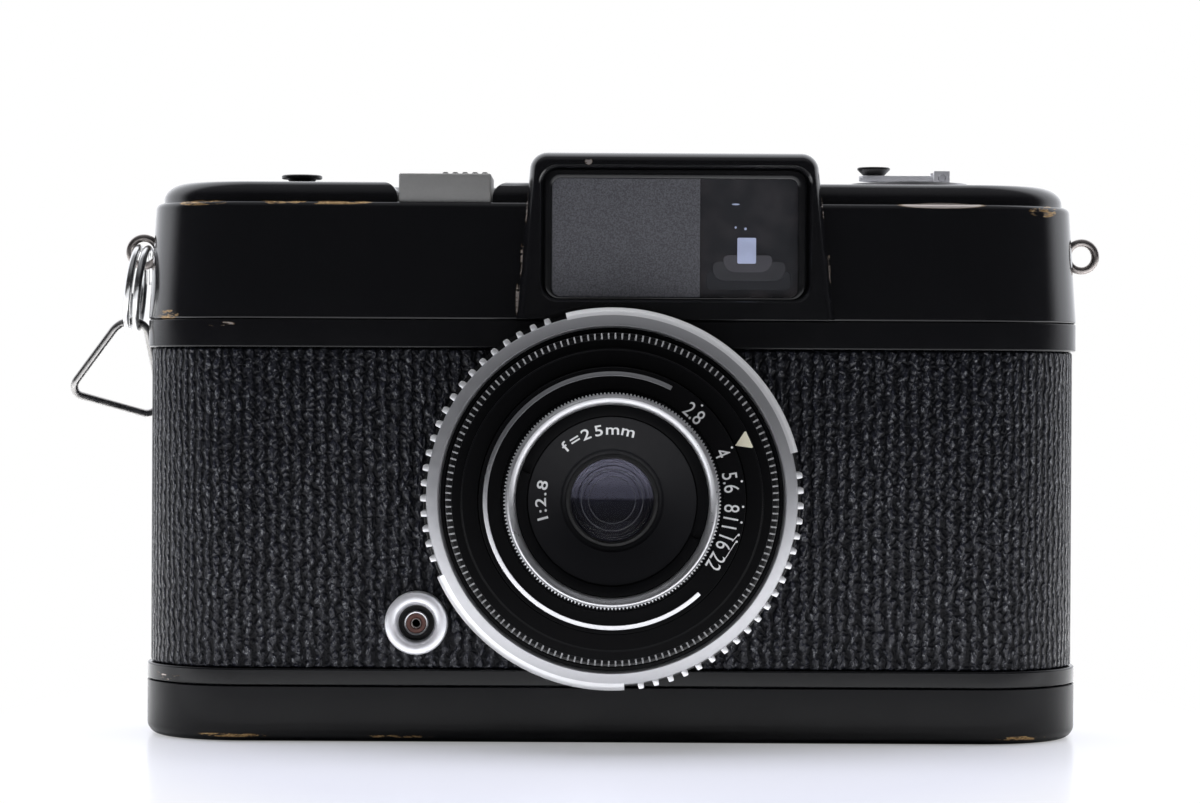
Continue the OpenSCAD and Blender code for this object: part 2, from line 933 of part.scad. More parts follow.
// Shutter blade that covers one half of the opening and hangs on its pivot
module shutter_blade(side, layer) {
    eye = 1.1;
    color("#29292b")
        on_lens()
            translate([0, 0, h_cavity + 0.2 + layer * blade_step])
                mirror([side < 0 ? 1 : 0, 0, 0])
                    linear_extrude(blade_t)
                        difference() {
                            union() {
                                intersection() {
                                    circle(blade_r);
                                    translate([-blade_lap, -blade_r - 1])
                                        square(2 * blade_r + 2);
                                }
                                polygon([[0.4, 4.5], [3.9, 3.8], [blade_pivot[0] + eye, blade_pivot[1]],
                                    [blade_pivot[0] - eye, blade_pivot[1]]]);
                                translate(blade_pivot)
                                    circle(eye);
                            }
                            translate(blade_pivot)
                                circle(pin_r + turn_fit);
                        }
}

module shutter_blade_left() shutter_blade(-1, 0);
module shutter_blade_right() shutter_blade(1, 1);

// Flash socket: a threaded collar, an insulator and a centre pin
module on_sync() {
    translate([sync_at[0], 0, sync_at[1]])
        rotate([90, 0, 0])
            children();
}

module sync_socket() {
    color("#cbccd2")
        on_sync()
            difference() {
                union() {
                    disc(sync_r, h_seat, h_front + sync_proud);
                    disc(sync_bore, h_front - sync_l, h_seat + eps);
                }
                disc(sync_bore, h_front + 0.2, h_front + 5);
                disc(sleeve_r, h_front - 6, h_front + 5);
            }
}

module sync_insulator() {
    color("#7a3b2c")
        on_sync()
            ring(sleeve_r - press_fit, sync_pin_r + press_fit, h_front - sync_l, h_front + 1.5);
}

module sync_pin() {
    color("#d8d2c0")
        on_sync()
            disc(sync_pin_r, h_front - sync_l - 1, h_front + 1.6);
}

// Strap lug: an eyelet on a shank that goes through the side of the top cover
module lug_blank(side, fit) {
    shank = lug_x - body_w / 2 + lug_inside;
    w = lug_shank_w + 2 * fit;
    t = lug_t + 2 * fit;
    translate([side * lug_x, 0, lug_z]) {
        rotate([90, 0, 0])
            disc(lug_hole_r + lug_rim + fit, -t / 2, t / 2);
        translate([side < 0 ? 0 : -shank, -t / 2, -w / 2])
            cube([shank, t, w]);
    }
}

module lug(side) {
    color("#c9b78e")
        difference() {
            lug_blank(side, 0);
            translate([side * lug_x, 0, lug_z])
                rotate([90, 0, 0])
                    disc(lug_hole_r, -lug_t, lug_t);
        }
}

module left_lug() lug(-1);
module right_lug() lug(1);

// Tube swept along points, with its sides set by a fixed direction that no point runs along
function unit(v) = v / norm(v);
function tube_points(path, r, up, closed) = [
    for (i = [0:len(path) - 1])
        let (
            n = len(path),
            a = closed ? path[(i + n - 1) % n] : path[max(i - 1, 0)],
            b = closed ? path[(i + 1) % n] : path[min(i + 1, n - 1)],
            t = unit(b - a),
            u = unit(cross(t, up)),
            v = cross(u, t)
        )
        for (k = [0:form_sides - 1])
            path[i] + r * (cos(360 / form_sides * k) * u + sin(360 / form_sides * k) * v)
];
function tube_faces(n, closed) = [
    for (i = [0:closed ? n - 1 : n - 2], k = [0:form_sides - 1])
        let (
            j = (i + 1) % n,
            m = (k + 1) % form_sides,
            a = i * form_sides + k,
            b = i * form_sides + m,
            c = j * form_sides + m,
            d = j * form_sides + k
        )
        each [[a, b, c], [a, c, d]]
];
function cap_faces(n) = [
    for (k = [1:form_sides - 2])
        each [[0, k + 1, k], [(n - 1) * form_sides, (n - 1) * form_sides + k, (n - 1) * form_sides + k + 1]]
];

module tube(path, r, up, closed) {
    polyhedron(
        points = tube_points(path, r, up, closed),
        faces = concat(tube_faces(len(path), closed), closed ? [] : cap_faces(len(path)))
    );
}

// Route of the split ring: two flat turns side by side whose ends lie at the rear
split_rings = split_turns * loop_rings;
function split_point(turn, x) = [x, split_r * sin(turn), -split_r * (1 - cos(turn))];
split_path = [
    for (i = [0:split_rings])
        split_point(split_start + 360 * i / loop_rings + split_apart * (1 - 2 * i / split_rings),
            split_pitch * (i / loop_rings - split_turns / 2))
];
split_gap = min([
    for (i = [0:split_rings], j = [i + loop_rings / 2:1:split_rings])
        norm(split_path[i] - split_path[j])
]) - split_d;
echo(split_ring_gap = split_gap);

module split_ring() {
    color("#c9c4b4")
        translate([-lug_x, 0, split_top])
            rotate([0, split_lean, 0])
                tube(split_path, split_d / 2, [1, 0, 0], false);
}

// Bend of a corner between the legs towards two other corners
function bend(at, from, to) =
    let (
        a = unit(from - at),
        b = unit(to - at),
        half = acos(a * b) / 2,
        mid = at + unit(a + b) * bend_r / sin(half),
        p = at + a * bend_r / tan(half) - mid,
        q = at + b * bend_r / tan(half) - mid,
        arc = 180 - 2 * half
    )
    [
        for (i = [0:bend_steps])
            let (t = i / bend_steps)
            mid + (sin((1 - t) * arc) * p + sin(t * arc) * q) / sin(arc)
    ];
// Crossing of the legs for a bend whose tip lies at corner_top, found by a few passes
function crossing(at, passes) =
    let (
        a = unit(corner_left - at),
        b = unit(corner_rear - at),
        half = acos(a * b) / 2
    )
    passes == 0 ? at : crossing(corner_top - unit(a + b) * bend_r * (1 / sin(half) - 1), passes - 1);
triangle_top = crossing(corner_top, 12);
triangle_up = unit(cross(corner_left - corner_top, corner_rear - corner_top));
triangle_path = concat(
    bend(triangle_top, corner_rear, corner_left),
    bend(corner_left, triangle_top, corner_rear),
    bend(corner_rear, corner_left, triangle_top)
);

module triangle_ring() {
    color("#c9c4b4")
        tube(triangle_path, triangle_d / 2, triangle_up, true);
}

// Shutter release: a plate with a skirt, a ridged half and a cable socket in the other half
module release_plate() {
    top = z_plateau + release_top;
    ridge_n = 5;
    ridge_pitch = 1.11;
    ridge_h = 0.45;
    left = release_x - release_w / 2;
    ridge_x = release_x + release_w / 2 - 0.7;
    color("#8c8a88")
        difference() {
            union() {
                span([left, release_y, z_ledge - release_skirt],
                    [left + release_w, release_y + release_d, top]);
                translate([release_x, release_y + release_d / 2, z_ledge - stem_l])
                    cylinder(r = stem_r, h = stem_l);
            }
            for (i = [0:ridge_n - 1])
                translate([ridge_x - i * ridge_pitch, release_y - 1, top - ridge_h])
                    cube([ridge_pitch / 2, release_d + 2, 1]);
            translate([left + release_w / 4, release_y + release_d / 2, top - cable_l])
                cylinder(r = cable_r, h = cable_l + 1);
        }
}

// Frame counter: the numbered dial and its setting knob turn on one spindle
module counter_dial() {
    z0 = z_plateau - counter_depth + seam_gap;
    color("#dcdcd8")
        translate([-wheel_x, counter_y, 0])
            difference() {
                union() {
                    disc(counter_r, z0, z0 + counter_t);
                    disc(shaft_r, z_ledge - counter_spindle, z0 + eps);
                }
                disc(shaft_r, z0 + counter_t / 2, z0 + 2);
            }
}

module counter_knob() {
    z0 = z_plateau - counter_depth + seam_gap + counter_t;
    color("#202022")
        translate([-wheel_x, counter_y, 0]) {
            disc(knob_r, z0, z_plateau + knob_h);
            disc(shaft_r - press_fit, z0 - counter_t / 2, z0 + eps);
        }
}

module advance_wheel() {
    teeth = 60;
    notch = 0.5;
    color("#3a3a3c")
        translate([-wheel_x, wheel_y, 0]) {
            translate([0, 0, z_wheel])
                linear_extrude(wheel_t)
                    polygon([
                        for (i = [0:2 * teeth - 1])
                            (wheel_r - (i % 2) * notch) * [cos(180 * i / teeth), sin(180 * i / teeth)]
                    ]);
            disc(rewind_shaft_r, z_deck - deck_t, z_wheel + eps);
        }
}

module takeup_spool() {
    z0 = z_lower + end_gap;
    z1 = z_upper - end_gap;
    color("#1c1c1d")
        translate([spool_at[0], spool_at[1], 0])
            difference() {
                union() {
                    disc(spool_r, z0, z1);
                    disc(spool_r + spool_lip, z0, z0 + spool_lip_t);
                    disc(spool_r + spool_lip, z1 - spool_lip_t, z1);
                    disc(shaft_r, z0 - journal_l, z1 + journal_l);
                }
                for (a = [0, 120, 240])
                    rotate(a)
                        translate([spool_r - spool_slot[0], -spool_slot[1] / 2, lens_z - spool_slot[2] / 2])
                            cube(spool_slot + [1, 0, 0]);
            }
}

module sprocket() {
    z0 = z_lower + end_gap;
    z1 = z_upper - end_gap;
    teeth = 8;
    color("#b9babd")
        translate([sprocket_at[0], sprocket_at[1], 0]) {
            disc(sprocket_r - 1, z0, z1);
            disc(shaft_r, z0 - journal_l, z1 + journal_l);
            for (s = [-1, 1]) {
                disc(sprocket_r, lens_z + s * row_z - row_w / 2, lens_z + s * row_z + row_w / 2);
                for (i = [0:teeth - 1])
                    rotate(360 / teeth * i)
                        translate([sprocket_r - 0.4, -tooth[1] / 2, lens_z + s * row_z - tooth[2] / 2])
                            cube(tooth + [0.4, 0, 0]);
            }
        }
}

// Rewind knob: a disc with two ears that hold the crank
module rewind_knob() {
    z1 = z_rewind + rewind_t;
    ear_y = crank_w / 2 + ear_gap;
    z_ear = z_hinge + knuckle_r + ear_rise;
    color("#c8c9cc")
        translate([cassette_x, rewind_y, 0])
            difference() {
                union() {
                    disc(rewind_r, z_rewind, z1);
                    for (s = [-1, 1])
                        span([hinge_x - 0.9, min(s * ear_y, s * (ear_y + ear_t)), z1 - eps],
                            [hinge_x + 0.9, max(s * ear_y, s * (ear_y + ear_t)), z_ear]);
                }
                disc(rewind_shaft_r + press_fit, z_rewind - 1, z_rewind + 3);
                translate([hinge_x, -rewind_r, z_hinge])
                    rotate([-90, 0, 0])
                        cylinder(r = hinge_r + turn_fit, h = 2 * rewind_r);
            }
}

module rewind_shaft() {
    z_fork = z_deck - deck_t - fork_l;
    color("#b9babd")
        translate([cassette_x, rewind_y, 0])
            difference() {
                disc(rewind_shaft_r, z_fork, z_rewind + rewind_t);
                translate([-3, -0.6, z_fork - 1])
                    cube([6, 1.2, fork_l]);
            }
}

// Folding crank: an arm with a pin at its root and an eye for the knob at its end
module rewind_crank() {
    color("#c8c9cc")
        translate([cassette_x, rewind_y, 0])
            difference() {
                union() {
                    span([-crank_reach, -crank_w / 2, z_hinge - crank_t / 2],
                        [hinge_x, crank_w / 2, z_hinge + crank_t / 2]);
                    translate([-crank_reach, 0, 0])
                        disc(crank_w / 2, z_hinge - crank_t / 2, z_hinge + crank_t / 2);
                    translate([hinge_x, -crank_w / 2, z_hinge])
                        rotate([-90, 0, 0])
                            cylinder(r = knuckle_r, h = crank_w);
                    translate([hinge_x, -crank_w / 2 - ear_t, z_hinge])
                        rotate([-90, 0, 0])
                            cylinder(r = hinge_r, h = crank_w + 2 * ear_t);
                }
                translate([-crank_reach, 0, 0])
                    disc(knob_pin_r + turn_fit, z_hinge - 2, z_hinge + 2);
            }
}

module crank_knob() {
    z0 = z_hinge - crank_t / 2;
    z1 = z_hinge + crank_t / 2 + seam_gap;
    color("#121213")
        translate([cassette_x - crank_reach, rewind_y, 0]) {
            disc(knob_pin_r, z0, z1 + eps);
            disc(crank_knob_r, z1, z1 + crank_knob_h);
        }
}

// Back cover: the rear wall and its rounded ends, fixed on the bottom tray
module back_cover() {
    color("#1b1b1d")
        intersection() {
            difference() {
                band(z_seam, z_top - seam_gap, 0, wall);
                band(z_leather, z_strip, -1, leather_recess);
            }
            behind(seam_y + seam_gap);
        }
}

// Bottom tray, which slides down off the body with the back cover and holds its lock
module bottom_tray() {
    edge = 0.85;
    foot = 0.5;
    half = body_w / 2;
    color("#1b1b1d")
        difference() {
            union() {
                difference() {
                    hull() {
                        plate_posts(-half, half, body_d, corner_r, 0, edge);
                        plate_posts(-half, half, body_d, corner_r, foot, edge / 2);
                        plate_posts(-half, half, body_d, corner_r, z_seam - eps, 0);
                    }
                    slab(floor_t, z_seam + 1, wall);
                }
                translate([lock_x, 0, 0])
                    disc(lock_boss_r, floor_t / 2, lock_boss_h);
            }
            disc(bush_r + seam_gap, -1, floor_t + 1);
            translate([lock_x, 0, 0]) {
                disc(lock_r + seam_gap, -1, lock_lip + lock_t + seam_gap);
                disc(lock_shaft_r + turn_fit, -1, lock_boss_h + 1);
            }
        }
}

module back_leatherette() {
    color("#161616")
        intersection() {
            leather_band();
            behind(seam_y + seam_gap);
        }
}

module pressure_plate() {
    color("#2a2a2c")
        translate([0, plate_y + plate_t, lens_z])
            rotate([90, 0, 0])
                linear_extrude(plate_t)
                    square([plate_w, plate_h], center = true);
}

// Bowed leaf spring between the rear wall and the pressure plate
module pressure_spring() {
    y0 = plate_y + plate_t + plate_travel + 0.1;
    y1 = y_rear - wall;
    bow = y1 - y0 - spring_t;
    color("#b9babd")
        translate([0, 0, lens_z - spring_w / 2])
            linear_extrude(spring_w)
                polygon([[-spring_l / 2, y0], [-4, y0 + bow], [4, y0 + bow], [spring_l / 2, y0],
                    [spring_l / 2, y0 + spring_t], [4, y1], [-4, y1], [-spring_l / 2, y0 + spring_t]]);
}

// Hinge pin of the key's handle, in the key's own frame
module handle_pin(r, l) {
    translate([-l / 2, -handle_pin_y, lock_lip + handle_t / 2])
        rotate([0, 90, 0])
            cylinder(r = r, h = l);
}

// Key that locks the back, with a fold-out handle lying in its face
module lock_key() {
    color("#c8c9cc")
        translate([lock_x, 0, 0])
            difference() {
                union() {
                    disc(lock_r, lock_lip, lock_lip + lock_t);
                    disc(lock_shaft_r, lock_lip, catch_z + catch_t / 2);
                }
                translate([-handle_w / 2 - handle_gap, -handle_l / 2 - handle_gap, -1])
                    cube([handle_w + 2 * handle_gap, handle_l + 2 * handle_gap,
                        1 + lock_lip + handle_t + handle_gap]);
                handle_pin(handle_pin_r + turn_fit, handle_w + 2 * handle_pin_l + 2 * turn_fit);
            }
}

module lock_catch() {
    color("#b9babd")
        translate([lock_x, 0, catch_z])
            difference() {
                union() {
                    translate([-catch_w / 2, 0, 0])
                        cube([catch_w, catch_l - catch_back, catch_t]);
                    cylinder(r = catch_boss_r, h = catch_t);
                }
                translate([0, 0, -1])
                    cylinder(r = lock_shaft_r + press_fit, h = catch_t + 2);
            }
}

module lock_handle() {
    color("#c8c9cc")
        translate([lock_x, 0, 0]) {
            difference() {
                translate([-handle_w / 2, -handle_l / 2, lock_lip])
                    cube([handle_w, handle_l, handle_t]);
                disc(handle_hole_r, -1, lock_lip + handle_t + 1);
            }
            handle_pin(handle_pin_r, handle_w + 2 * handle_pin_l);
        }
}

module tripod_bush() {
    z1 = z_seam + seam_gap + deck_t;
    color("#c8c9cc")
        difference() {
            union() {
                disc(bush_r, 0, z1 + eps);
                disc(bush_flange_r, z1, z1 + bush_flange_t);
            }
            disc(socket_r, -1, socket_l);
        }
}

main_body();
film_gate();
upper_deck();
lower_deck();
lock_hook();
front_leatherette();
top_cover();
cover_screws();
finder_bezel();
frosted_window();
finder_objective();
finder_tube();
finder_eyepiece();
eyepiece_frame();
shutter_case();
speed_ring();
aperture_ring();
scale_disc();
lens_barrel();
focus_ring();
front_cell();
name_ring();
front_lens();
rear_lens();
iris_blade_1();
iris_blade_2();
iris_blade_3();
iris_blade_4();
iris_blade_5();
shutter_blade_left();
shutter_blade_right();
sync_socket();
sync_insulator();
sync_pin();
left_lug();
right_lug();
split_ring();
triangle_ring();
release_plate();
counter_dial();
counter_knob();
advance_wheel();
takeup_spool();
sprocket();
rewind_knob();
rewind_shaft();
rewind_crank();
crank_knob();
back_cover();
bottom_tray();
back_leatherette();
pressure_plate();
pressure_spring();
lock_key();
lock_catch();
lock_handle();
tripod_bush();
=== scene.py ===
"""Looks of the half frame camera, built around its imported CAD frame.

Millimetres are used throughout, as in the CAD source: +X right, +Z up, the front faces -Y.
"""

import json
import logging
import math
from abc import ABC, abstractmethod
from dataclasses import dataclass
from enum import Enum
from typing import Iterable, Sequence

import bmesh
import bpy
from mathutils import Matrix, Vector

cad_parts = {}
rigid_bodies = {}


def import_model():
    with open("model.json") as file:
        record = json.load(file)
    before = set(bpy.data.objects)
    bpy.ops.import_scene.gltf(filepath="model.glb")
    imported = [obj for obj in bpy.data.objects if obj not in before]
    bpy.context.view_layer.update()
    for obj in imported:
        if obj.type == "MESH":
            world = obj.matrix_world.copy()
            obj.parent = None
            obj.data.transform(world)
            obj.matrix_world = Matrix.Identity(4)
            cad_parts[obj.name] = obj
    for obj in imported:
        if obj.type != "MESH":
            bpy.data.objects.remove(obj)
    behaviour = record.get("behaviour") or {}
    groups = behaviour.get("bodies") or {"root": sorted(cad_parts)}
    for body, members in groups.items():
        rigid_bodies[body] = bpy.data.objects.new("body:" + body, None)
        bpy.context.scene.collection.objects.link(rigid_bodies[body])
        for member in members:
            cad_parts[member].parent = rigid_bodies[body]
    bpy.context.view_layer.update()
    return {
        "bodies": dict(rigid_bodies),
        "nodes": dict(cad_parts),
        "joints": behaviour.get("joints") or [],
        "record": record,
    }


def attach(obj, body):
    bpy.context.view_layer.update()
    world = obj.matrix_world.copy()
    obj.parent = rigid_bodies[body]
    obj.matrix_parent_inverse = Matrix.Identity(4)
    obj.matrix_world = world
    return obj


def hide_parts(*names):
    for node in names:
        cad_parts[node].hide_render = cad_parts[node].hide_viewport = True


LOG = logging.getLogger("scene")
MM = 0.001
FULL_TURN = 2 * math.pi
SHARPEST = 0.02
Point = tuple[float, float, float]
Pair = tuple[float, float]
Profile = tuple[Pair, ...]
Colour = tuple[float, float, float]
Piece = bpy.types.Object
Socket = bpy.types.NodeSocket


class Axis(Enum):
    """Which way a turned piece's axis runs."""

    FRONT = (0.0, -1.0, 0.0)
    UP = (0.0, 0.0, 1.0)

    def point(self, centre: Point, radius: float, along: float, angle: float = 0.0) -> Vector:
        """Place of a point given in the axis's own cylinder coordinates.

        Args:
            centre: a point on the axis, in mm.
            radius: distance from the axis.
            along: distance along the axis from the centre.
            angle: radians, from the right towards +Z, or towards +Y round an upright axis.
        Returns:
            The point, in mm.
        """
        across = radius * math.cos(angle)
        rise = radius * math.sin(angle)
        x, y, z = centre
        if self is Axis.FRONT:
            return Vector((x + across, y - along, z + rise))
        return Vector((x + across, y + rise, z + along))


def leave_edit() -> None:
    """Goes to object mode with nothing selected."""
    active = bpy.context.view_layer.objects.active
    if active is not None and active.mode != "OBJECT":
        bpy.ops.object.mode_set(mode="OBJECT")
    bpy.ops.object.select_all(action="DESELECT")


def take(obj: Piece) -> None:
    """Makes one object the only selected and the active one.

    Args:
        obj: the object.
    """
    leave_edit()
    obj.select_set(True)
    bpy.context.view_layer.objects.active = obj


def edit(obj: Piece) -> None:
    """Opens an object in edit mode with all of it selected.

    Args:
        obj: the object.
    """
    take(obj)
    bpy.ops.object.mode_set(mode="EDIT")
    bpy.ops.mesh.select_mode(type="VERT")
    bpy.ops.mesh.select_all(action="SELECT")


def named(name: str) -> Piece:
    """Names the object just added, and its mesh.

    Args:
        name: the new name.
    Returns:
        The object.
    """
    obj = bpy.context.object
    obj.name = name
    obj.data.name = name
    return obj


def clean(obj: Piece, gap: float = 0.0005) -> None:
    """Merges doubled points and turns all faces outward.

    Args:
        obj: the mesh object.
        gap: merging distance in mm.
    """
    edit(obj)
    bpy.ops.mesh.remove_doubles(threshold=gap * MM)
    bpy.ops.mesh.normals_make_consistent(inside=False)
    leave_edit()


def smooth(obj: Piece, angle: float = 32.0) -> Piece:
    """Shades smooth over edges flatter than an angle.

    Args:
        obj: the mesh object.
        angle: in degrees.
    Returns:
        The same object.
    """
    take(obj)
    bpy.ops.object.shade_smooth_by_angle(angle=math.radians(angle))
    return obj


def closed_loop(name: str, points: Sequence[Sequence[float]]) -> Piece:
    """Starts a piece from a circle primitive drawn out to a closed line.

    Args:
        name: object name.
        points: the line, in mm.
    Returns:
        The new object, edges only.
    """
    leave_edit()
    bpy.ops.mesh.primitive_circle_add(vertices=len(points), radius=1.0)
    obj = named(name)
    for vertex, point in zip(obj.data.vertices, points):
        vertex.co = Vector(point) * MM
    return obj


def loft(name: str, rings: Sequence[Sequence[Sequence[float]]], close: bool = True) -> Piece:
    """Extrudes a closed line from ring to ring and closes both ends.

    Args:
        name: object name.
        rings: closed lines with the same number of points, in mm.
        close: whether the two ends get faces.
    Returns:
        The new object.
    """
    obj = closed_loop(name, rings[0])
    edit(obj)
    if close:
        bpy.ops.mesh.edge_face_add()
    for ring in rings[1:]:
        draft = bmesh.from_edit_mesh(obj.data)
        before = {tuple(v.co): i for i, v in enumerate(v for v in draft.verts if v.select)}
        bpy.ops.mesh.extrude_edges_indiv()
        draft = bmesh.from_edit_mesh(obj.data)
        for vertex in [v for v in draft.verts if v.select]:
            vertex.co = Vector(ring[before[tuple(vertex.co)]]) * MM
        bmesh.update_edit_mesh(obj.data)
    if close:
        bpy.ops.mesh.edge_face_add()
    leave_edit()
    clean(obj)
    return obj


def lathe(name: str, section: Sequence[Pair], centre: Point, axis: Axis, steps: int = 160,
          shade: float = 32.0) -> Piece:
    """Spins a closed section round an axis.

    Args:
        name: object name.
        section: (radius, distance along the axis) pairs in mm.
        centre: a point on the axis.
        axis: the way it runs.
        steps: how many faces round.
        shade: smoothing angle.
    Returns:
        The turned piece.
    """
    obj = closed_loop(name, [axis.point(centre, r, a) for r, a in section])
    edit(obj)
    bpy.ops.mesh.spin(steps=steps, angle=FULL_TURN, center=Vector(centre) * MM, axis=axis.value)
    leave_edit()
    clean(obj)
    return smooth(obj, shade)


def box(name: str, low: Point, high: Point) -> Piece:
    """A cube primitive fitted between two corners.

    Args:
        name: object name.
        low, high: the corners in mm.
    Returns:
        The new object.
    """
    leave_edit()
    bpy.ops.mesh.primitive_cube_add(size=2.0)
    obj = named(name)
    for vertex in obj.data.vertices:
        vertex.co = Vector((low[i] if vertex.co[i] < 0 else high[i] for i in range(3))) * MM
    return obj


def rod(name: str, start: Sequence[float], end: Sequence[float], radius: float, sides: int = 64) -> Piece:
    """A cylinder primitive laid from one point to another.

    Args:
        name: object name.
        start, end: middles of its two ends, in mm.
        radius: in mm.
        sides: how many faces round.
    Returns:
        The new object.
    """
    leave_edit()
    a, b = Vector(start), Vector(end)
    bpy.ops.mesh.primitive_cylinder_add(vertices=sides, radius=radius * MM, depth=(b - a).length * MM)
    obj = named(name)
    turn = (b - a).to_track_quat("Z", "Y").to_matrix().to_4x4()
    obj.data.transform(Matrix.Translation((a + b) / 2 * MM) @ turn)
    return obj


def modifier(obj: Piece, kind: str, **values: object) -> Piece:
    """Adds one modifier and applies it.

    Args:
        obj: the mesh object.
        kind: Blender's name of the modifier type.
        values: the modifier's settings.
    Returns:
        The same object.
    """
    take(obj)
    tool = obj.modifiers.new(kind.lower(), kind)
    for key, value in values.items():
        setattr(tool, key, value)
    bpy.ops.object.modifier_apply(modifier=tool.name)
    return obj


def bevel(obj: Piece, width: float, segments: int = 3, angle: float = 35.0) -> Piece:
    """Rounds the edges sharper than an angle, by a width in mm."""
    return modifier(obj, "BEVEL", width=width * MM, segments=segments, limit_method="ANGLE",
                    angle_limit=math.radians(angle), use_clamp_overlap=True)


def even(obj: Piece, angle: float = 32.0) -> Piece:
    """Smooth shading in which large faces stay flat up to their rounded edges."""
    smooth(obj, angle)
    return modifier(obj, "WEIGHTED_NORMAL", keep_sharp=True, weight=70)


def cut(obj: Piece, *tools: Piece, join: bool = False) -> Piece:
    """Takes tool pieces out of an object, or adds them to it, and removes the tools.

    Args:
        obj: the mesh object.
        tools: closed pieces, used in this order.
        join: whether they are added instead.
    Returns:
        The same object.
    """
    for tool in tools:
        modifier(obj, "BOOLEAN", object=tool, operation="UNION" if join else "DIFFERENCE", solver="EXACT")
        bpy.data.meshes.remove(tool.data)
    clean(obj, 0.002)
    return obj


def merge(name: str, parts: Sequence[Piece]) -> Piece:
    """Joins several objects in one.

    Args:
        name: name of the result.
        parts: the objects.
    Returns:
        The joined object.
    """
    leave_edit()
    for part in parts:
        part.select_set(True)
    bpy.context.view_layer.objects.active = parts[0]
    bpy.ops.object.join()
    return named(name)


def twin(obj: Piece, matrix: Matrix) -> Piece:
    """A moved copy of an object, its place kept in the mesh.

    Args:
        obj: what is copied.
        matrix: the move, in metres.
    Returns:
        The copy.
    """
    other = obj.copy()
    other.data = obj.data.copy()
    other.data.transform(matrix)
    bpy.context.scene.collection.objects.link(other)
    return other


def around(centre: Point, axis: Axis, angle: float) -> Matrix:
    """The turn by an angle in radians round an axis through a point in mm."""
    at = Vector(centre) * MM
    return Matrix.Translation(at) @ Matrix.Rotation(angle, 4, Vector(axis.value)) @ Matrix.Translation(-at)


def wire(name: str, points: Sequence[Sequence[float]], radius: float, ring: bool = False) -> Piece:
    """A round wire along a line of points, made a mesh.

    Args:
        name: object name.
        points: the wire's middle line, in mm.
        radius: of the wire.
        ring: whether the line closes.
    Returns:
        The mesh object.
    """
    leave_edit()
    bpy.ops.curve.primitive_nurbs_path_add()
    obj = bpy.context.object
    obj.data.splines.clear()
    spline = obj.data.splines.new("POLY")
    spline.points.add(len(points) - 1)
    for knot, point in zip(spline.points, points):
        knot.co = (*(Vector(point) * MM), 1.0)
    spline.use_cyclic_u = ring
    obj.data.dimensions = "3D"
    obj.data.bevel_depth = radius * MM
    obj.data.bevel_resolution = 6
    obj.data.use_fill_caps = not ring
    take(obj)
    bpy.ops.object.convert(target="MESH")
    obj = named(name)
    clean(obj)
    return smooth(obj, 50.0)


def lettering(name: str, body: str, size: float, place: Matrix, bold: float = 0.0) -> Piece:
    """Flat characters made a mesh and laid in place.

    Args:
        name: object name.
        body: the characters.
        size: text size in mm.
        place: where the text's own plane goes, in mm.
        bold: how much the strokes are widened, in mm.
    Returns:
        The mesh object.
    """
    leave_edit()
    bpy.ops.object.text_add()
    obj = bpy.context.object
    obj.data.body = body
    obj.data.size = size
    obj.data.align_x = "CENTER"
    obj.data.align_y = "CENTER"
    obj.data.extrude = 0.015
    obj.data.offset = bold
    obj.data.resolution_u = 4
    bpy.ops.object.convert(target="MESH")
    obj = named(name)
    obj.data.transform(Matrix.Scale(MM, 4) @ place)
    return obj


def rounded(low: Pair, high: Pair, radius: float | Sequence[float], level: float,
            arc: int = 10) -> list[Point]:
    """A rounded rectangle in a level plane, counter-clockwise from the corner at low.

    Args:
        low, high: two corners (x, y) in mm.
        radius: of all corners, or of the four from low-low round.
        level: z.
        arc: steps in each corner.
    Returns:
        The points.
    """
    radii = [radius] * 4 if isinstance(radius, (int, float)) else list(radius)
    points: list[Point] = []
    corners = [(low[0], low[1], 1, 1, 180), (high[0], low[1], -1, 1, 270),
               (high[0], high[1], -1, -1, 0), (low[0], high[1], 1, -1, 90)]
    for (x, y, sx, sy, start), r in zip(corners, radii):
        r = max(r, SHARPEST)
        for step in range(arc + 1):
            angle = math.radians(start + 90 * step / arc)
            points.append((x + sx * r + r * math.cos(angle), y + sy * r + r * math.sin(angle), level))
    return points


def upright(points: Iterable[Point], front: float) -> list[Point]:
    """Turns a level line of points into the plane y = front, its y becoming z."""
    return [(x, front, y) for x, y, _ in points]


def quarter(radius: float, steps: int = 6) -> list[Pair]:
    """(drawn in, risen) pairs of a rounded edge, from its foot to its top."""
    turns = (math.radians(90 * i / steps) for i in range(steps + 1))
    return [(radius * (1 - math.cos(t)), radius * math.sin(t)) for t in turns]


class Space(Enum):
    """The coordinates that a node tree's patterns read."""

    OBJECT = "Object"
    GENERATED = "Generated"


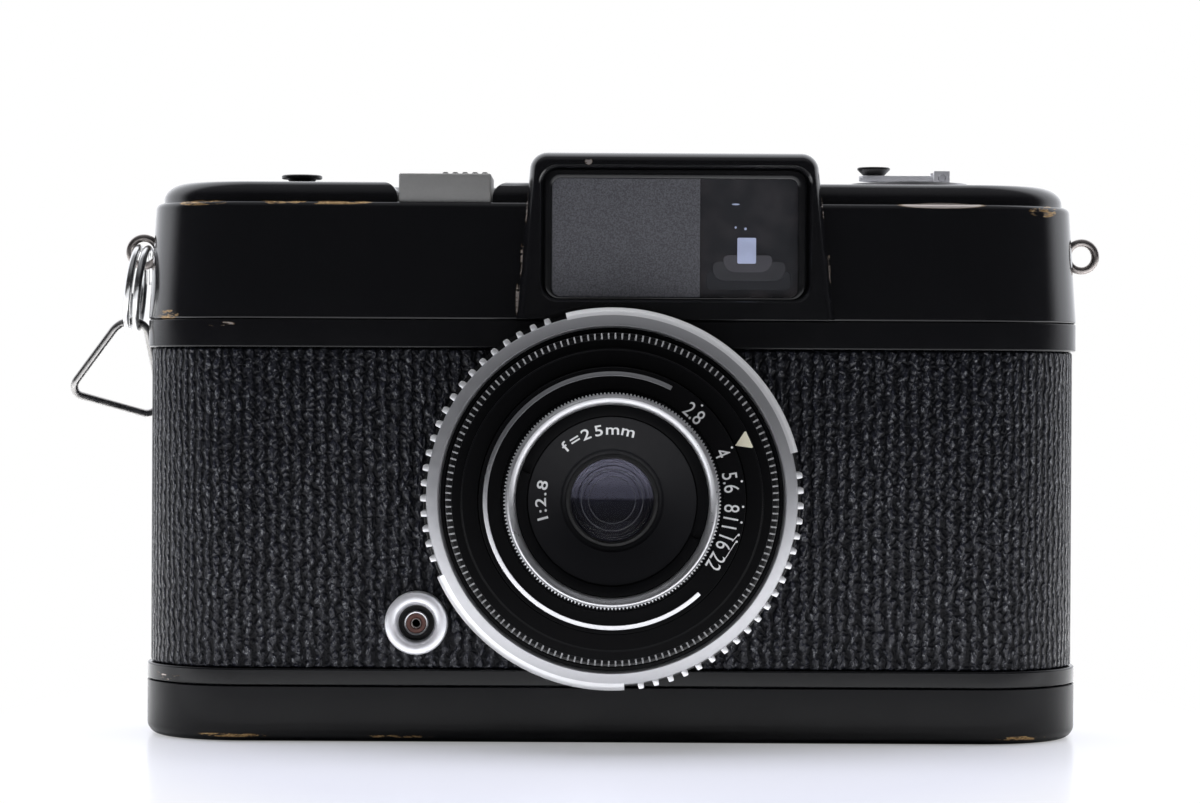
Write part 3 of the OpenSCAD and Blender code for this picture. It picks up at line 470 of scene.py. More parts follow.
class Nodes:
    """A shader node tree, with short ways to add and link nodes."""

    def __init__(self, tree: bpy.types.NodeTree, space: Space) -> None:
        """Empties a tree and starts it with its coordinates.

        Args:
            tree: a material's or world's node tree.
            space: the coordinates it reads.
        """
        self.nodes = tree.nodes
        self.links = tree.links
        self.nodes.clear()
        self.place = self.nodes.new("ShaderNodeTexCoord").outputs[space.value]

    def put(self, socket: Socket, value: object) -> None:
        """Links or sets one input.

        Args:
            socket: the input.
            value: another node's output, or a plain value.
        """
        if isinstance(value, Socket):
            self.links.new(value, socket)
        else:
            socket.default_value = value

    def add(self, kind: str, inputs: dict | None = None, **settings: object) -> bpy.types.Node:
        """Adds a node.

        Args:
            kind: the node type without its ShaderNode prefix.
            inputs: socket name or number to a value or another socket.
            settings: attributes of the node.
        Returns:
            The node.
        """
        node = self.nodes.new("ShaderNode" + kind)
        for key, value in settings.items():
            setattr(node, key, value)
        for key, value in (inputs or {}).items():
            self.put(node.inputs[key], value)
        return node

    def math(self, operation: str, a: object, b: object = 0.0, c: object = 0.0,
             clamp: bool = False) -> Socket:
        """One sum of two or three values."""
        return self.add("Math", {0: a, 1: b, 2: c}, operation=operation, use_clamp=clamp).outputs[0]

    def ramp(self, value: object, low: float, high: float, to_low: float = 0.0,
             to_high: float = 1.0) -> Socket:
        """Smooth step of a value between two levels."""
        return self.add("MapRange", {0: value, 1: low, 2: high, 3: to_low, 4: to_high},
                        interpolation_type="SMOOTHSTEP").outputs[0]

    def mix(self, factor: object, a: object, b: object) -> Socket:
        """Blend of two colours."""
        return self.add("Mix", {0: factor, 6: a, 7: b}, data_type="RGBA").outputs[2]

    def blend(self, factor: object, a: bpy.types.Node, b: bpy.types.Node) -> bpy.types.Node:
        """Blend of two shaders."""
        return self.add("MixShader", {0: factor, 1: a.outputs[0], 2: b.outputs[0]})


class Tree(Nodes):
    """One material's nodes, with patterns in object space."""

    def __init__(self, name: str) -> None:
        """Makes an empty material.

        Args:
            name: the material's name.
        """
        self.material = bpy.data.materials.new(name)
        self.material.use_nodes = True
        super().__init__(self.material.node_tree, Space.OBJECT)

    def stretch(self, scale: Point) -> Socket:
        """Object coordinates in mm, scaled."""
        return self.add("Mapping", {"Vector": self.place, "Scale": tuple(v / MM for v in scale)}).outputs[0]

    def noise(self, scale: Point | float, detail: float = 3.0, rough: float = 0.55) -> Socket:
        """Noise value with so many waves a mm."""
        sizes = (scale,) * 3 if isinstance(scale, (int, float)) else scale
        return self.add("TexNoise", {"Vector": self.stretch(sizes), "Scale": 1.0, "Detail": detail,
                                     "Roughness": rough}).outputs["Fac"]

    def bent(self, scale: Point, amount: float, waves: float = 1.1) -> Socket:
        """Object coordinates in mm, scaled and pushed about a little by noise.

        Args:
            scale: along each axis.
            amount: how far they are pushed.
            waves: of the noise, a mm.
        Returns:
            The coordinates.
        """
        push = self.add("TexNoise", {"Vector": self.stretch((waves,) * 3), "Scale": 1.0, "Detail": 2.0})
        moved = self.add("VectorMath", {0: push.outputs["Color"], "Scale": amount}, operation="SCALE")
        place = {0: self.stretch(scale), 1: moved.outputs[0]}
        return self.add("VectorMath", place, operation="ADD").outputs[0]

    def zone(self, centre: Point, half: Point, soft: float = 0.6) -> Socket:
        """A mask that is 1 in the middle of an ellipsoid and falls off to its edge.

        Args:
            centre: middle in mm.
            half: half sizes in mm.
            soft: width of the fall-off, as a part of the half size.
        Returns:
            The mask.
        """
        moved = self.add("Mapping", {"Vector": self.place, "Location": tuple(-c * MM for c in centre)},
                         vector_type="POINT").outputs[0]
        sized = self.add("VectorMath", {0: moved, 1: tuple(1 / (h * MM) for h in half)},
                         operation="MULTIPLY").outputs[0]
        distance = self.add("VectorMath", {0: sized}, operation="LENGTH").outputs["Value"]
        return self.ramp(distance, 1.0, 1.0 - soft)

    def bump(self, height: object, strength: float, depth: float) -> Socket:
        """Normal from a height; depth in mm."""
        return self.add("Bump", {"Height": height, "Strength": strength, "Distance": depth * MM}).outputs[0]

    def finish(self, shader: bpy.types.Node) -> bpy.types.Material:
        """Ends the tree in a shader and gives the material."""
        self.add("OutputMaterial", {"Surface": shader.outputs[0]})
        return self.material

    def principled(self, **inputs: object) -> bpy.types.Material:
        """Ends the tree in a principled surface.

        Args:
            inputs: socket names with underscores for spaces.
        Returns:
            The material.
        """
        return self.finish(self.add("BsdfPrincipled", {k.replace("_", " "): v for k, v in inputs.items()}))


def opaque(colour: Colour, share: float = 1.0) -> tuple[float, float, float, float]:
    """A colour with its alpha, dimmed to a share."""
    return (*(c * share for c in colour), 1.0)


def grey(value: float) -> tuple[float, float, float, float]:
    """A neutral colour."""
    return (value, value, value, 1.0)


@dataclass(frozen=True)
class Finish(ABC):
    """A surface finish that can be made a material."""

    @abstractmethod
    def make(self, name: str) -> bpy.types.Material:
        """Builds the material under a name."""


@dataclass(frozen=True)
class Wear:
    """A place where the lacquer is rubbed through to the brass, or to paler metal; some pale places also
    paint highlight streaks.
    """

    centre: Point
    half: Point
    amount: float = 0.5
    pale: bool = False


@dataclass(frozen=True)
class Lacquer(Finish):
    """Black lacquer over brass, rubbed through in places; a few pale lines are partly painted highlight
    streaks.
    """

    wear: tuple[Wear, ...] = ()
    gloss: float = 0.16
    tone: float = 0.0052
    shine: float = 0.5
    brass: tuple[Colour, Colour] = ((0.20, 0.115, 0.045), (0.46, 0.31, 0.15))
    pale_metal: Colour = (0.50, 0.45, 0.43)

    def make(self, name: str) -> bpy.types.Material:
        """Builds the material.

        Args:
            name: the material's name.
        Returns:
            The material.
        """
        tree = Tree(name)
        patch = tree.noise((0.55, 0.55, 2.4), 6.0, 0.62)
        rubbed: object = 0.0
        silver: object = 0.0
        for place in self.wear:
            mask = tree.zone(place.centre, place.half)
            level = tree.math("ADD", patch, place.amount - 1.0)
            hit = tree.math("MULTIPLY", tree.ramp(level, -0.02, 0.06), tree.ramp(mask, 0.15, 0.6))
            rubbed = tree.math("MAXIMUM", rubbed, hit)
            if place.pale:
                silver = tree.math("MAXIMUM", silver, hit)
        fine = tree.noise((3.0, 3.0, 9.0), 4.0)
        brass = tree.mix(tree.ramp(fine, 0.35, 0.7), *(opaque(c) for c in self.brass))
        metal = tree.mix(silver, brass, opaque(self.pale_metal))
        scuff = tree.ramp(tree.noise((6.0, 6.0, 14.0), 5.0, 0.7), 0.62, 0.8)
        deep = (self.tone, self.tone, self.tone * 1.2)
        colour = tree.mix(rubbed, tree.mix(scuff, opaque(deep), opaque(deep, 4.0)), metal)
        peel = tree.bump(tree.noise(1.3, 2.0), 0.10, 0.05)
        edge = tree.add("Bump", {"Height": tree.math("SUBTRACT", 1.0, rubbed), "Strength": 0.5,
                                 "Distance": 0.03 * MM, "Normal": peel}).outputs[0]
        rough = tree.ramp(tree.noise(0.25, 4.0), 0.3, 0.75, self.gloss * 0.92, self.gloss * 1.12)
        return tree.principled(Base_Color=colour, Metallic=tree.math("MULTIPLY", rubbed, 0.5), Normal=edge,
                               Roughness=rough, Coat_Weight=0.5 * self.shine, Coat_Roughness=0.05,
                               Specular_IOR_Level=self.shine)


@dataclass(frozen=True)
class Leatherette(Finish):
    """Black covering with wavy upright ridges, running on round the body's ends; its hollows carry painted
    shade, its crests painted light and pale painted glints.
    """

    pitch: float = 1.37
    seam: float = 2.0
    sway: float = 8.0
    cell: Point = (1.45, 1.45, 0.85)
    relief: float = 0.25
    # Painted shade and light: the first colour darkens the hollows, the second lightens the crests, and speck
    # is the colour of painted glints.
    valley: Colour = (0.0025, 0.0027, 0.0042)
    crest: Colour = (0.0135, 0.0145, 0.0225)
    speck: Colour = (0.15, 0.155, 0.17)

    def make(self, name: str) -> bpy.types.Material:
        """Builds the material.

        Args:
            name: the material's name.
        Returns:
            The material.
        """
        tree = Tree(name)
        axes = tree.add("SeparateXYZ", {0: tree.place})
        behind = tree.math("GREATER_THAN", axes.outputs["Y"], self.seam * MM)
        way = tree.math("SUBTRACT", 1.0, tree.math("MULTIPLY", behind, 2.0))
        across = tree.math("MULTIPLY", tree.math("ABSOLUTE", axes.outputs["X"]), way)
        along = tree.math("ADD", across, axes.outputs["Y"])
        sway = tree.math("MULTIPLY", tree.noise((0.5, 0.5, 0.6), 2.0), self.sway)
        turn = tree.math("ADD", tree.math("MULTIPLY", along, FULL_TURN / (self.pitch * MM)), sway)
        ridge = tree.math("POWER", tree.math("MULTIPLY_ADD", tree.math("SINE", turn), 0.5, 0.5), 0.7)
        edges = tree.add("TexVoronoi", {"Vector": tree.bent(self.cell, 0.5), "Scale": 1.0, "Randomness": 0.9},
                         feature="DISTANCE_TO_EDGE").outputs["Distance"]
        cell = tree.ramp(edges, 0.0, 0.3)
        fine = tree.noise((3.2, 3.2, 2.2), 3.0, 0.6)
        height = tree.math("ADD", tree.math("MULTIPLY", ridge, 0.7), tree.math("MULTIPLY", cell, 0.5))
        height = tree.math("ADD", height, tree.math("MULTIPLY", fine, 0.5))
        raised = tree.math("ADD", tree.math("MULTIPLY", ridge, 0.62), tree.math("MULTIPLY", cell, 0.38))
        crest = tree.ramp(raised, 0.25, 0.95)
        # Painted glints on the crests, then painted shade in the hollows and painted light on the crests.
        spark = tree.math("MULTIPLY", tree.ramp(tree.noise((2.9, 2.9, 2.2), 1.0), 0.60, 0.68), crest)
        painted_relief_shading = tree.mix(crest, opaque(self.valley), opaque(self.crest))
        colour = tree.mix(tree.math("MULTIPLY", spark, 0.8), painted_relief_shading, opaque(self.speck))
        rough = tree.ramp(crest, 0.2, 0.9, 0.42, 0.26)
        return tree.principled(Base_Color=colour, Roughness=rough, Normal=tree.bump(height, 1.0, self.relief),
                               Specular_IOR_Level=tree.ramp(crest, 0.0, 0.9, 0.12, 0.42))


@dataclass(frozen=True)
class Metal(Finish):
    """Bare or plated metal."""

    colour: Colour
    rough: float = 0.25
    grain: float = 0.0
    tarnish: float = 0.0
    bare: float = 1.0

    def make(self, name: str) -> bpy.types.Material:
        """Builds the material.

        Args:
            name: the material's name.
        Returns:
            The material.
        """
        tree = Tree(name)
        spots = tree.noise(0.8, 5.0, 0.6)
        tone = tree.mix(tree.ramp(spots, 0.45, 0.75, 0.0, self.tarnish), opaque(self.colour),
                        opaque(self.colour, 0.45))
        rough = tree.ramp(tree.noise(2.5, 4.0), 0.3, 0.7, self.rough * 0.85, self.rough * 1.2)
        normal = tree.bump(tree.noise(9.0, 2.0), self.grain, 0.02)
        return tree.principled(Base_Color=tone, Metallic=self.bare, Roughness=rough, Normal=normal)


@dataclass(frozen=True)
class Paint(Finish):
    """Plain paint, plastic or filled lettering."""

    colour: Colour
    rough: float = 0.4
    grain: float = 0.0
    speck: float = 0.0
    coat: float = 0.0
    shine: float = 0.5
    mottle: float = 0.0

    def make(self, name: str) -> bpy.types.Material:
        """Builds the material.

        Args:
            name: the material's name.
        Returns:
            The material.
        """
        tree = Tree(name)
        specks = tree.ramp(tree.noise(4.5, 2.0, 0.7), 0.66, 0.74, 0.0, self.speck)
        uneven = tree.ramp(tree.noise(6.0, 2.0, 0.7), 0.3, 0.7, 0.0, self.mottle)
        base = tree.mix(uneven, opaque(self.colour), opaque(self.colour, 0.4))
        colour = tree.mix(specks, base, grey(0.35))
        rough = tree.ramp(tree.noise(1.2, 4.0), 0.3, 0.7, self.rough * 0.9, self.rough * 1.15)
        normal = tree.bump(tree.noise(5.0, 3.0), self.grain, 0.04)
        return tree.principled(Base_Color=colour, Roughness=rough, Normal=normal, Coat_Weight=self.coat,
                               Coat_Roughness=0.05, Specular_IOR_Level=self.shine)


@dataclass(frozen=True)
class Glass(Finish):
    """Clear or coated glass, mirroring on its outer side only."""

    tint: Colour = (1.0, 1.0, 1.0)
    film: float = 0.0
    sheen: Colour = (1.0, 1.0, 1.0)
    index: float = 1.5
    rough: float = 0.02

    def make(self, name: str) -> bpy.types.Material:
        """Builds the material.

        Args:
            name: the material's name.
        Returns:
            The material.
        """
        tree = Tree(name)
        facing = tree.add("Fresnel", {"IOR": self.index}).outputs[0]
        outside = tree.math("SUBTRACT", 1.0, tree.add("NewGeometry").outputs["Backfacing"])
        share = tree.math("MULTIPLY", tree.math("ADD", facing, self.film, clamp=True), outside)
        clear = tree.add("BsdfTransparent", {"Color": opaque(self.tint)})
        shine = tree.add("BsdfGlossy", {"Color": opaque(self.sheen), "Roughness": self.rough})
        return tree.finish(tree.blend(share, clear, shine))


@dataclass(frozen=True)
class Glow(Finish):
    """Emission that paints the light and shade seen in the finder, where there is no lamp."""

    colour: Colour
    strength: float = 1.0
    patchy: float = 0.15

    def make(self, name: str) -> bpy.types.Material:
        """Builds the material.

        Args:
            name: the material's name.
        Returns:
            The material.
        """
        tree = Tree(name)
        patch = tree.ramp(tree.noise(0.4, 1.5), 0.35, 0.7, 1.0 - self.patchy, 1.0)
        tint = tree.add("VectorMath", {0: self.colour, "Scale": patch}, operation="SCALE").outputs[0]
        return tree.principled(Base_Color=grey(0.02), Roughness=0.5, Emission_Color=tint,
                               Emission_Strength=self.strength)


WEAR_COVER = (
    Wear((-46.2, -11.6, 60.7), (4.6, 3.0, 0.4), 0.52),
    Wear((-32.0, -13.2, 60.75), (6.2, 1.0, 0.32), 0.56),
    Wear((-38.8, -13.2, 60.75), (3.0, 1.0, 0.25), 0.47),
    Wear((37.0, -13.2, 60.75), (6.2, 1.0, 0.5), 0.75, True),
    Wear((48.6, -9.6, 60.4), (2.6, 3.0, 0.7), 0.50),
    Wear((48.6, -10.4, 60.2), (2.8, 3.2, 0.8), 0.52),
    Wear((-50.6, -10.0, 48.1), (2.6, 3.0, 0.7), 0.50),
    Wear((-2.8, -15.9, 65.35), (0.55, 1.0, 0.5), 0.58, True),
    # The pale lines below, down the finder housing's flanks, are partly rubbed metal and partly painted
    # highlight streaks.
    Wear((-9.75, -14.6, 61.0), (0.26, 1.0, 3.5), 0.55, True),
    Wear((-10.3, -14.6, 55.0), (0.26, 1.0, 3.5), 0.55, True),
    Wear((-10.75, -14.6, 50.0), (0.26, 1.0, 2.5), 0.55, True),
    Wear((23.6, -14.6, 61.0), (0.26, 1.0, 3.0), 0.54, True),
    Wear((24.3, -14.6, 54.0), (0.26, 1.0, 3.5), 0.54, True),
)
WEAR_TRAY = (
    Wear((-42.0, -13.4, 0.75), (6.5, 1.6, 0.34), 0.52),
    Wear((45.5, -12.0, 0.75), (5.0, 3.0, 0.36), 0.52),
    Wear((-24.0, -13.7, 0.7), (6.0, 1.0, 0.28), 0.50),
)
WEAR_BODY = (
    Wear((-44.5, -14.2, 47.0), (2.6, 0.8, 0.4), 0.50, True),
    Wear((-50.5, -10.5, 7.2), (3.0, 3.0, 1.0), 0.40, True),
)


class Coat(Enum):
    """The camera's finishes; each of the record's material slots has one of its own name."""

    BLACK_LACQUER = Lacquer(WEAR_COVER)
    TRAY_LACQUER = Lacquer(WEAR_TRAY, gloss=0.3, tone=0.006, shine=0.13)
    BLACK_CASTING = Lacquer(WEAR_BODY, gloss=0.2, shine=0.22)
    LEATHERETTE = Leatherette()
    STEEL_BRIGHT = Metal((0.42, 0.42, 0.43), 0.3, tarnish=0.2)
    SATIN_SILVER = Metal((0.44, 0.44, 0.46), 0.38, grain=0.05, bare=0.75)
    FOCUS_SILVER = Metal((0.55, 0.55, 0.57), 0.32, bare=0.9)
    ARC_SILVER = Metal((0.52, 0.52, 0.54), 0.34, bare=0.95)
    RIM_SILVER = Metal((0.80, 0.80, 0.82), 0.36, bare=0.6)
    CRANK_SILVER = Metal((0.74, 0.74, 0.77), 0.42, bare=0.4)
    RIB_METAL = Metal((0.27, 0.27, 0.28), 0.35, bare=0.4)
    BLADE_STEEL = Metal((0.09, 0.092, 0.10), 0.42, bare=0.6)
    SCREW_STEEL = Metal((0.30, 0.30, 0.31), 0.36, grain=0.1, tarnish=0.3)
    LUG_STEEL = Metal((0.40, 0.365, 0.35), 0.34, grain=0.1, tarnish=0.35)
    SOCKET_CHROME = Metal((0.78, 0.78, 0.82), 0.34, grain=0.03, bare=0.6)
    RING_CHROME = Metal((0.42, 0.41, 0.40), 0.3)
    RING_BRIGHT = Metal((0.80, 0.80, 0.80), 0.22)
    POLISHED = Metal((0.74, 0.74, 0.75), 0.28, bare=0.85)
    RELEASE_GREY = Metal((0.42, 0.415, 0.41), 0.5, grain=0.3, bare=0.6)
    WHEEL_BLACK = Metal((0.05, 0.05, 0.052), 0.35, grain=0.1)
    BLACK_TRIM = Paint((0.006, 0.006, 0.007), 0.22, coat=0.3)
    RING_BLACK = Paint((0.0025, 0.0025, 0.003), 0.4, grain=0.05, shine=0.06)
    NAME_GREY = Paint((0.009, 0.009, 0.0105), 0.45, grain=0.1, shine=0.12)
    BLACK_PLASTIC = Paint((0.008, 0.008, 0.008), 0.3)
    MATT_BLACK = Paint((0.004, 0.004, 0.005), 0.6)
    DIAL_BLACK = Paint((0.01, 0.01, 0.011), 0.35)
    DIAL_WHITE = Paint((0.80, 0.79, 0.75), 0.3)
    WHITE_FILL = Paint((0.66, 0.66, 0.67), 0.5)
    CREAM = Paint((0.83, 0.79, 0.62), 0.5)
    BROWN_INSULATOR = Paint((0.075, 0.024, 0.017), 0.4)
    FROSTED_PANEL = Paint((0.155, 0.155, 0.175), 0.5, grain=0.35, speck=0.2, shine=0.3, mottle=0.85)
    DARK_GLASS = Paint((0.01, 0.011, 0.014), 0.05, coat=1.0)
    CLEAR_GLASS = Glass((0.97, 0.97, 1.0), film=-0.035)
    COATED_GLASS = Glass((0.80, 0.80, 0.86), film=0.03, sheen=(0.66, 0.65, 0.77), rough=0.12)
    WINDOW_GLASS = Glass((0.96, 0.97, 1.0))
    # Painted light and shade in the finder: glowing colours for the lit eyepiece and glints, the dark room
    # behind, and the lit steps of the masks.
    FINDER_LIGHT = Glow((0.62, 0.68, 0.92), 0.62)
    FINDER_DARK = Glow((0.013, 0.0105, 0.0105), patchy=0.9)
    FINDER_STEP_1 = Glow((0.010, 0.0098, 0.0105))
    FINDER_STEP_2 = Glow((0.024, 0.023, 0.024))
    FINDER_STEP_3 = Glow((0.048, 0.045, 0.049))


class Shelf:
    """Makes each material once, on first use."""

    def __init__(self) -> None:
        """Starts with no material."""
        self._made: dict[Coat, bpy.types.Material] = {}

    def __getitem__(self, coat: Coat) -> bpy.types.Material:
        """The material of a finish.

        Args:
            coat: the finish.
        Returns:
            Its material, named after it.
        """
        if coat not in self._made:
            self._made[coat] = coat.value.make(coat.name.lower())
        return self._made[coat]


@dataclass
class SubAssembly(ABC):
    """A group of pieces that is built and fastened to the frame together."""

    frame: dict
    shelf: Shelf

    @abstractmethod
    def build(self) -> None:
        """Makes all pieces of the group."""

    def keep(self, obj: Piece, coat: Coat, body: str, slot: str, *nodes: str) -> Piece:
        """Gives a piece its finish, fastens it to the frame and reports it.

        Args:
            obj: the piece.
            coat: its finish.
            body: the CAD body it moves with.
            slot: the record's material slot; not used.
            nodes: CAD nodes it stands for.
        Returns:
            The piece.
        """
        obj.data.materials.clear()
        obj.data.materials.append(self.shelf[coat])
        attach(obj, body)
        if nodes:
            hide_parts(*nodes)
        LOG.info("%s: %s", type(self).__name__, obj.name)
        return obj

    def soften(self, node: str, width: float) -> Piece:
        """A copy of a CAD node with its sharp edges rounded.

        Args:
            node: CAD node name.
            width: bevel width in mm.
        Returns:
            The copy.
        """
        leave_edit()
        source = self.frame["nodes"][node]
        obj = bpy.data.objects.new(f"look_{node}", source.data.copy())
        bpy.context.scene.collection.objects.link(obj)
        edit(obj)
        bpy.ops.mesh.remove_doubles(threshold=0.002 * MM)
        bpy.ops.mesh.normals_make_consistent(inside=False)
        bpy.ops.mesh.dissolve_limited(angle_limit=math.radians(1.0))
        leave_edit()
        bevel(obj, width)
        return even(obj, 30.0)


@dataclass(frozen=True)
class Softbox:
    """One lamp."""

    name: str
    place: Point
    aim: Point
    size: Pair
    power: float
    colour: Colour = (1.0, 1.0, 1.0)
    mirrored: bool = True


@dataclass
class Studio:
    """Camera, lamps, surroundings and table; the table's own sizes are in metres."""

    eye: Point = (-1.4, -417.0, 40.8)
    lens: float = 107.5
    tilt: float = -0.33
    roll: float = -0.3
    lamps: tuple[Softbox, ...] = (
        Softbox("top", (0, 60, 640), (0, 0, 30), (800, 380), 6.0, mirrored=False),
        Softbox("bounce", (0, -250, 1.5), (0, -250, 100), (600, 460), 0.66, (0.95, 0.965, 1.0)),
        Softbox("left", (-600, 40, 260), (0, 0, 40), (260, 420), 1.6, (0.93, 0.96, 1.0), mirrored=False),
        Softbox("right", (600, 60, 260), (0, 0, 40), (260, 420), 1.2, mirrored=False),
        Softbox("under", (0, 0, -4), (0, 0, 10), (96, 16), 0.008, mirrored=False),
    )
    room_tint: Colour = (0.94, 0.955, 1.0)
    table_size: float = 6.0
    table_drop: float = 0.02 * MM
    table_tint: Colour = (0.695, 0.71, 0.835)
    shaded_y: Pair = (-0.11, -0.035)
    shaded_area: Pair = (0.058, 0.1)

    def build(self) -> None:
        """Sets all of it up."""
        scene = bpy.context.scene
        scene.view_settings.view_transform = "Standard"
        self._camera(scene)
        self._world(scene)
        for lamp in self.lamps:
            self._lamp(lamp)
        self._table()

    def _camera(self, scene: bpy.types.Scene) -> None:
        """Adds the photo's viewpoint.

        Args:
            scene: the scene that looks through it.
        """
        leave_edit()
        bpy.ops.object.camera_add(location=Vector(self.eye) * MM)
        camera = bpy.context.object
        camera.name = "photo_camera"
        camera.data.lens = self.lens
        camera.data.sensor_fit = "HORIZONTAL"
        camera.data.sensor_width = 36.0
        camera.data.clip_start = 0.01
        camera.rotation_euler = (math.radians(90 + self.tilt), math.radians(self.roll), 0.0)
        scene.camera = camera

    def _world(self, scene: bpy.types.Scene) -> None:
        """Makes it white behind, dim in front, unlit from below and plain white to the camera.

        Args:
            scene: the scene it surrounds.
        """
        world = bpy.data.worlds.new("white_room")
        scene.world = world
        world.use_nodes = True
        tree = Nodes(world.node_tree, Space.GENERATED)
        axes = tree.add("SeparateXYZ", {0: tree.place})
        behind = tree.ramp(axes.outputs["Y"], -0.05, 0.4, 0.03, 1.3)
        overhead = tree.ramp(axes.outputs["Z"], 0.35, 0.95, 0.02, 0.25)
        horizon = tree.ramp(axes.outputs["Z"], -0.03, 0.0)
        level = tree.math("MULTIPLY", tree.math("MAXIMUM", behind, overhead), horizon)
        room = tree.add("Background", {"Color": opaque(self.room_tint), "Strength": level})
        white = tree.add("Background", {"Color": grey(1.0)})
        shown = tree.blend(tree.add("LightPath").outputs["Is Camera Ray"], room, white)
        tree.add("OutputWorld", {"Surface": shown.outputs[0]})

    def _lamp(self, lamp: Softbox) -> None:
        """Adds one area lamp and aims it.

        Args:
            lamp: its size, place and light.
        """
        leave_edit()
        bpy.ops.object.light_add(type="AREA", location=Vector(lamp.place) * MM)
        obj = bpy.context.object
        obj.name = lamp.name
        obj.data.shape = "RECTANGLE"
        obj.data.size, obj.data.size_y = (s * MM for s in lamp.size)
        obj.data.energy = lamp.power
        obj.data.color = lamp.colour
        obj.visible_glossy = lamp.mirrored
        obj.visible_camera = False
        way = Vector(lamp.aim) - Vector(lamp.place)
        obj.rotation_euler = way.to_track_quat("-Z", "Y").to_euler()

    def _table(self) -> None:
        """Adds a white, slightly glossy table, open to the lamp and to views from below."""
        leave_edit()
        bpy.ops.mesh.primitive_plane_add(size=self.table_size, location=(0.0, 0.0, -self.table_drop))
        table = named("table")
        tree = Tree("white_table")
        axes = tree.add("SeparateXYZ", {0: tree.place})
        ahead = tree.ramp(axes.outputs["Y"], *self.shaded_y, 0.10, 0.93)
        colour = tree.add("CombineColor", {0: ahead, 1: ahead, 2: ahead}).outputs[0]
        dim = tree.add("BsdfDiffuse", {"Color": colour})
        lit = tree.add("BsdfPrincipled", {"Base Color": opaque(self.table_tint), "Roughness": 0.2,
                                          "Specular IOR Level": 0.12})
        glow = tree.add("Emission", {"Color": grey(1.0), "Strength": 1.0})
        width, depth = self.shaded_area
        sized = tree.add("VectorMath", {0: tree.place, 1: (1 / width, 1 / depth, 1.0)}, operation="MULTIPLY")
        away = tree.add("VectorMath", {0: sized.outputs[0]}, operation="LENGTH").outputs["Value"]
        shown = tree.blend(tree.ramp(away, 0.75, 1.3, 0.28, 1.0), lit, glow)
        path = tree.add("LightPath")
        top = tree.blend(path.outputs["Is Camera Ray"], dim, shown)
        below = tree.add("NewGeometry").outputs["Backfacing"]
        under = tree.math("MAXIMUM", below, path.outputs["Is Shadow Ray"])
        table.data.materials.append(tree.finish(tree.blend(under, top, tree.add("BsdfTransparent"))))


HALF_W = 53.5
HALF_D = 14.4
CORNER = 12.0
SEAM_Y = 2.0
Z_SEAM = 6.3
Z_LEATHER = 8.3
Z_STRIP = 44.4
Z_TOP = 47.6
Z_LEDGE = 60.9
Z_PLATEAU = 63.2
Z_HUMP = 66.45
AHEAD_Y = -30.0
ABOVE_Z = 66.0
LENS: Point = (0.0, 0.0, 27.7)
SOCKET: Point = (-21.85, 0.0, 13.55)
COUNTER: Pair = (-36.3, 1.5)
REWIND: Pair = (34.4, 0.0)
LOCK_X = -30.0


def plan(inset: float, level: float, arc: int = 20) -> list[Point]:
    """The body's outline drawn in by an inset, at a level."""
    x, y = HALF_W - inset, HALF_D - inset
    return rounded((-x, -y), (x, y), CORNER - inset, level, arc)


@dataclass(frozen=True)
class Bore:
    """A round upright hole."""

    centre: Pair
    low: float
    high: float
    radius: float
    sides: int

    def tool(self) -> Piece:
        """The rod that cuts it."""
        return rod("bore", (*self.centre, self.low), (*self.centre, self.high), self.radius, self.sides)


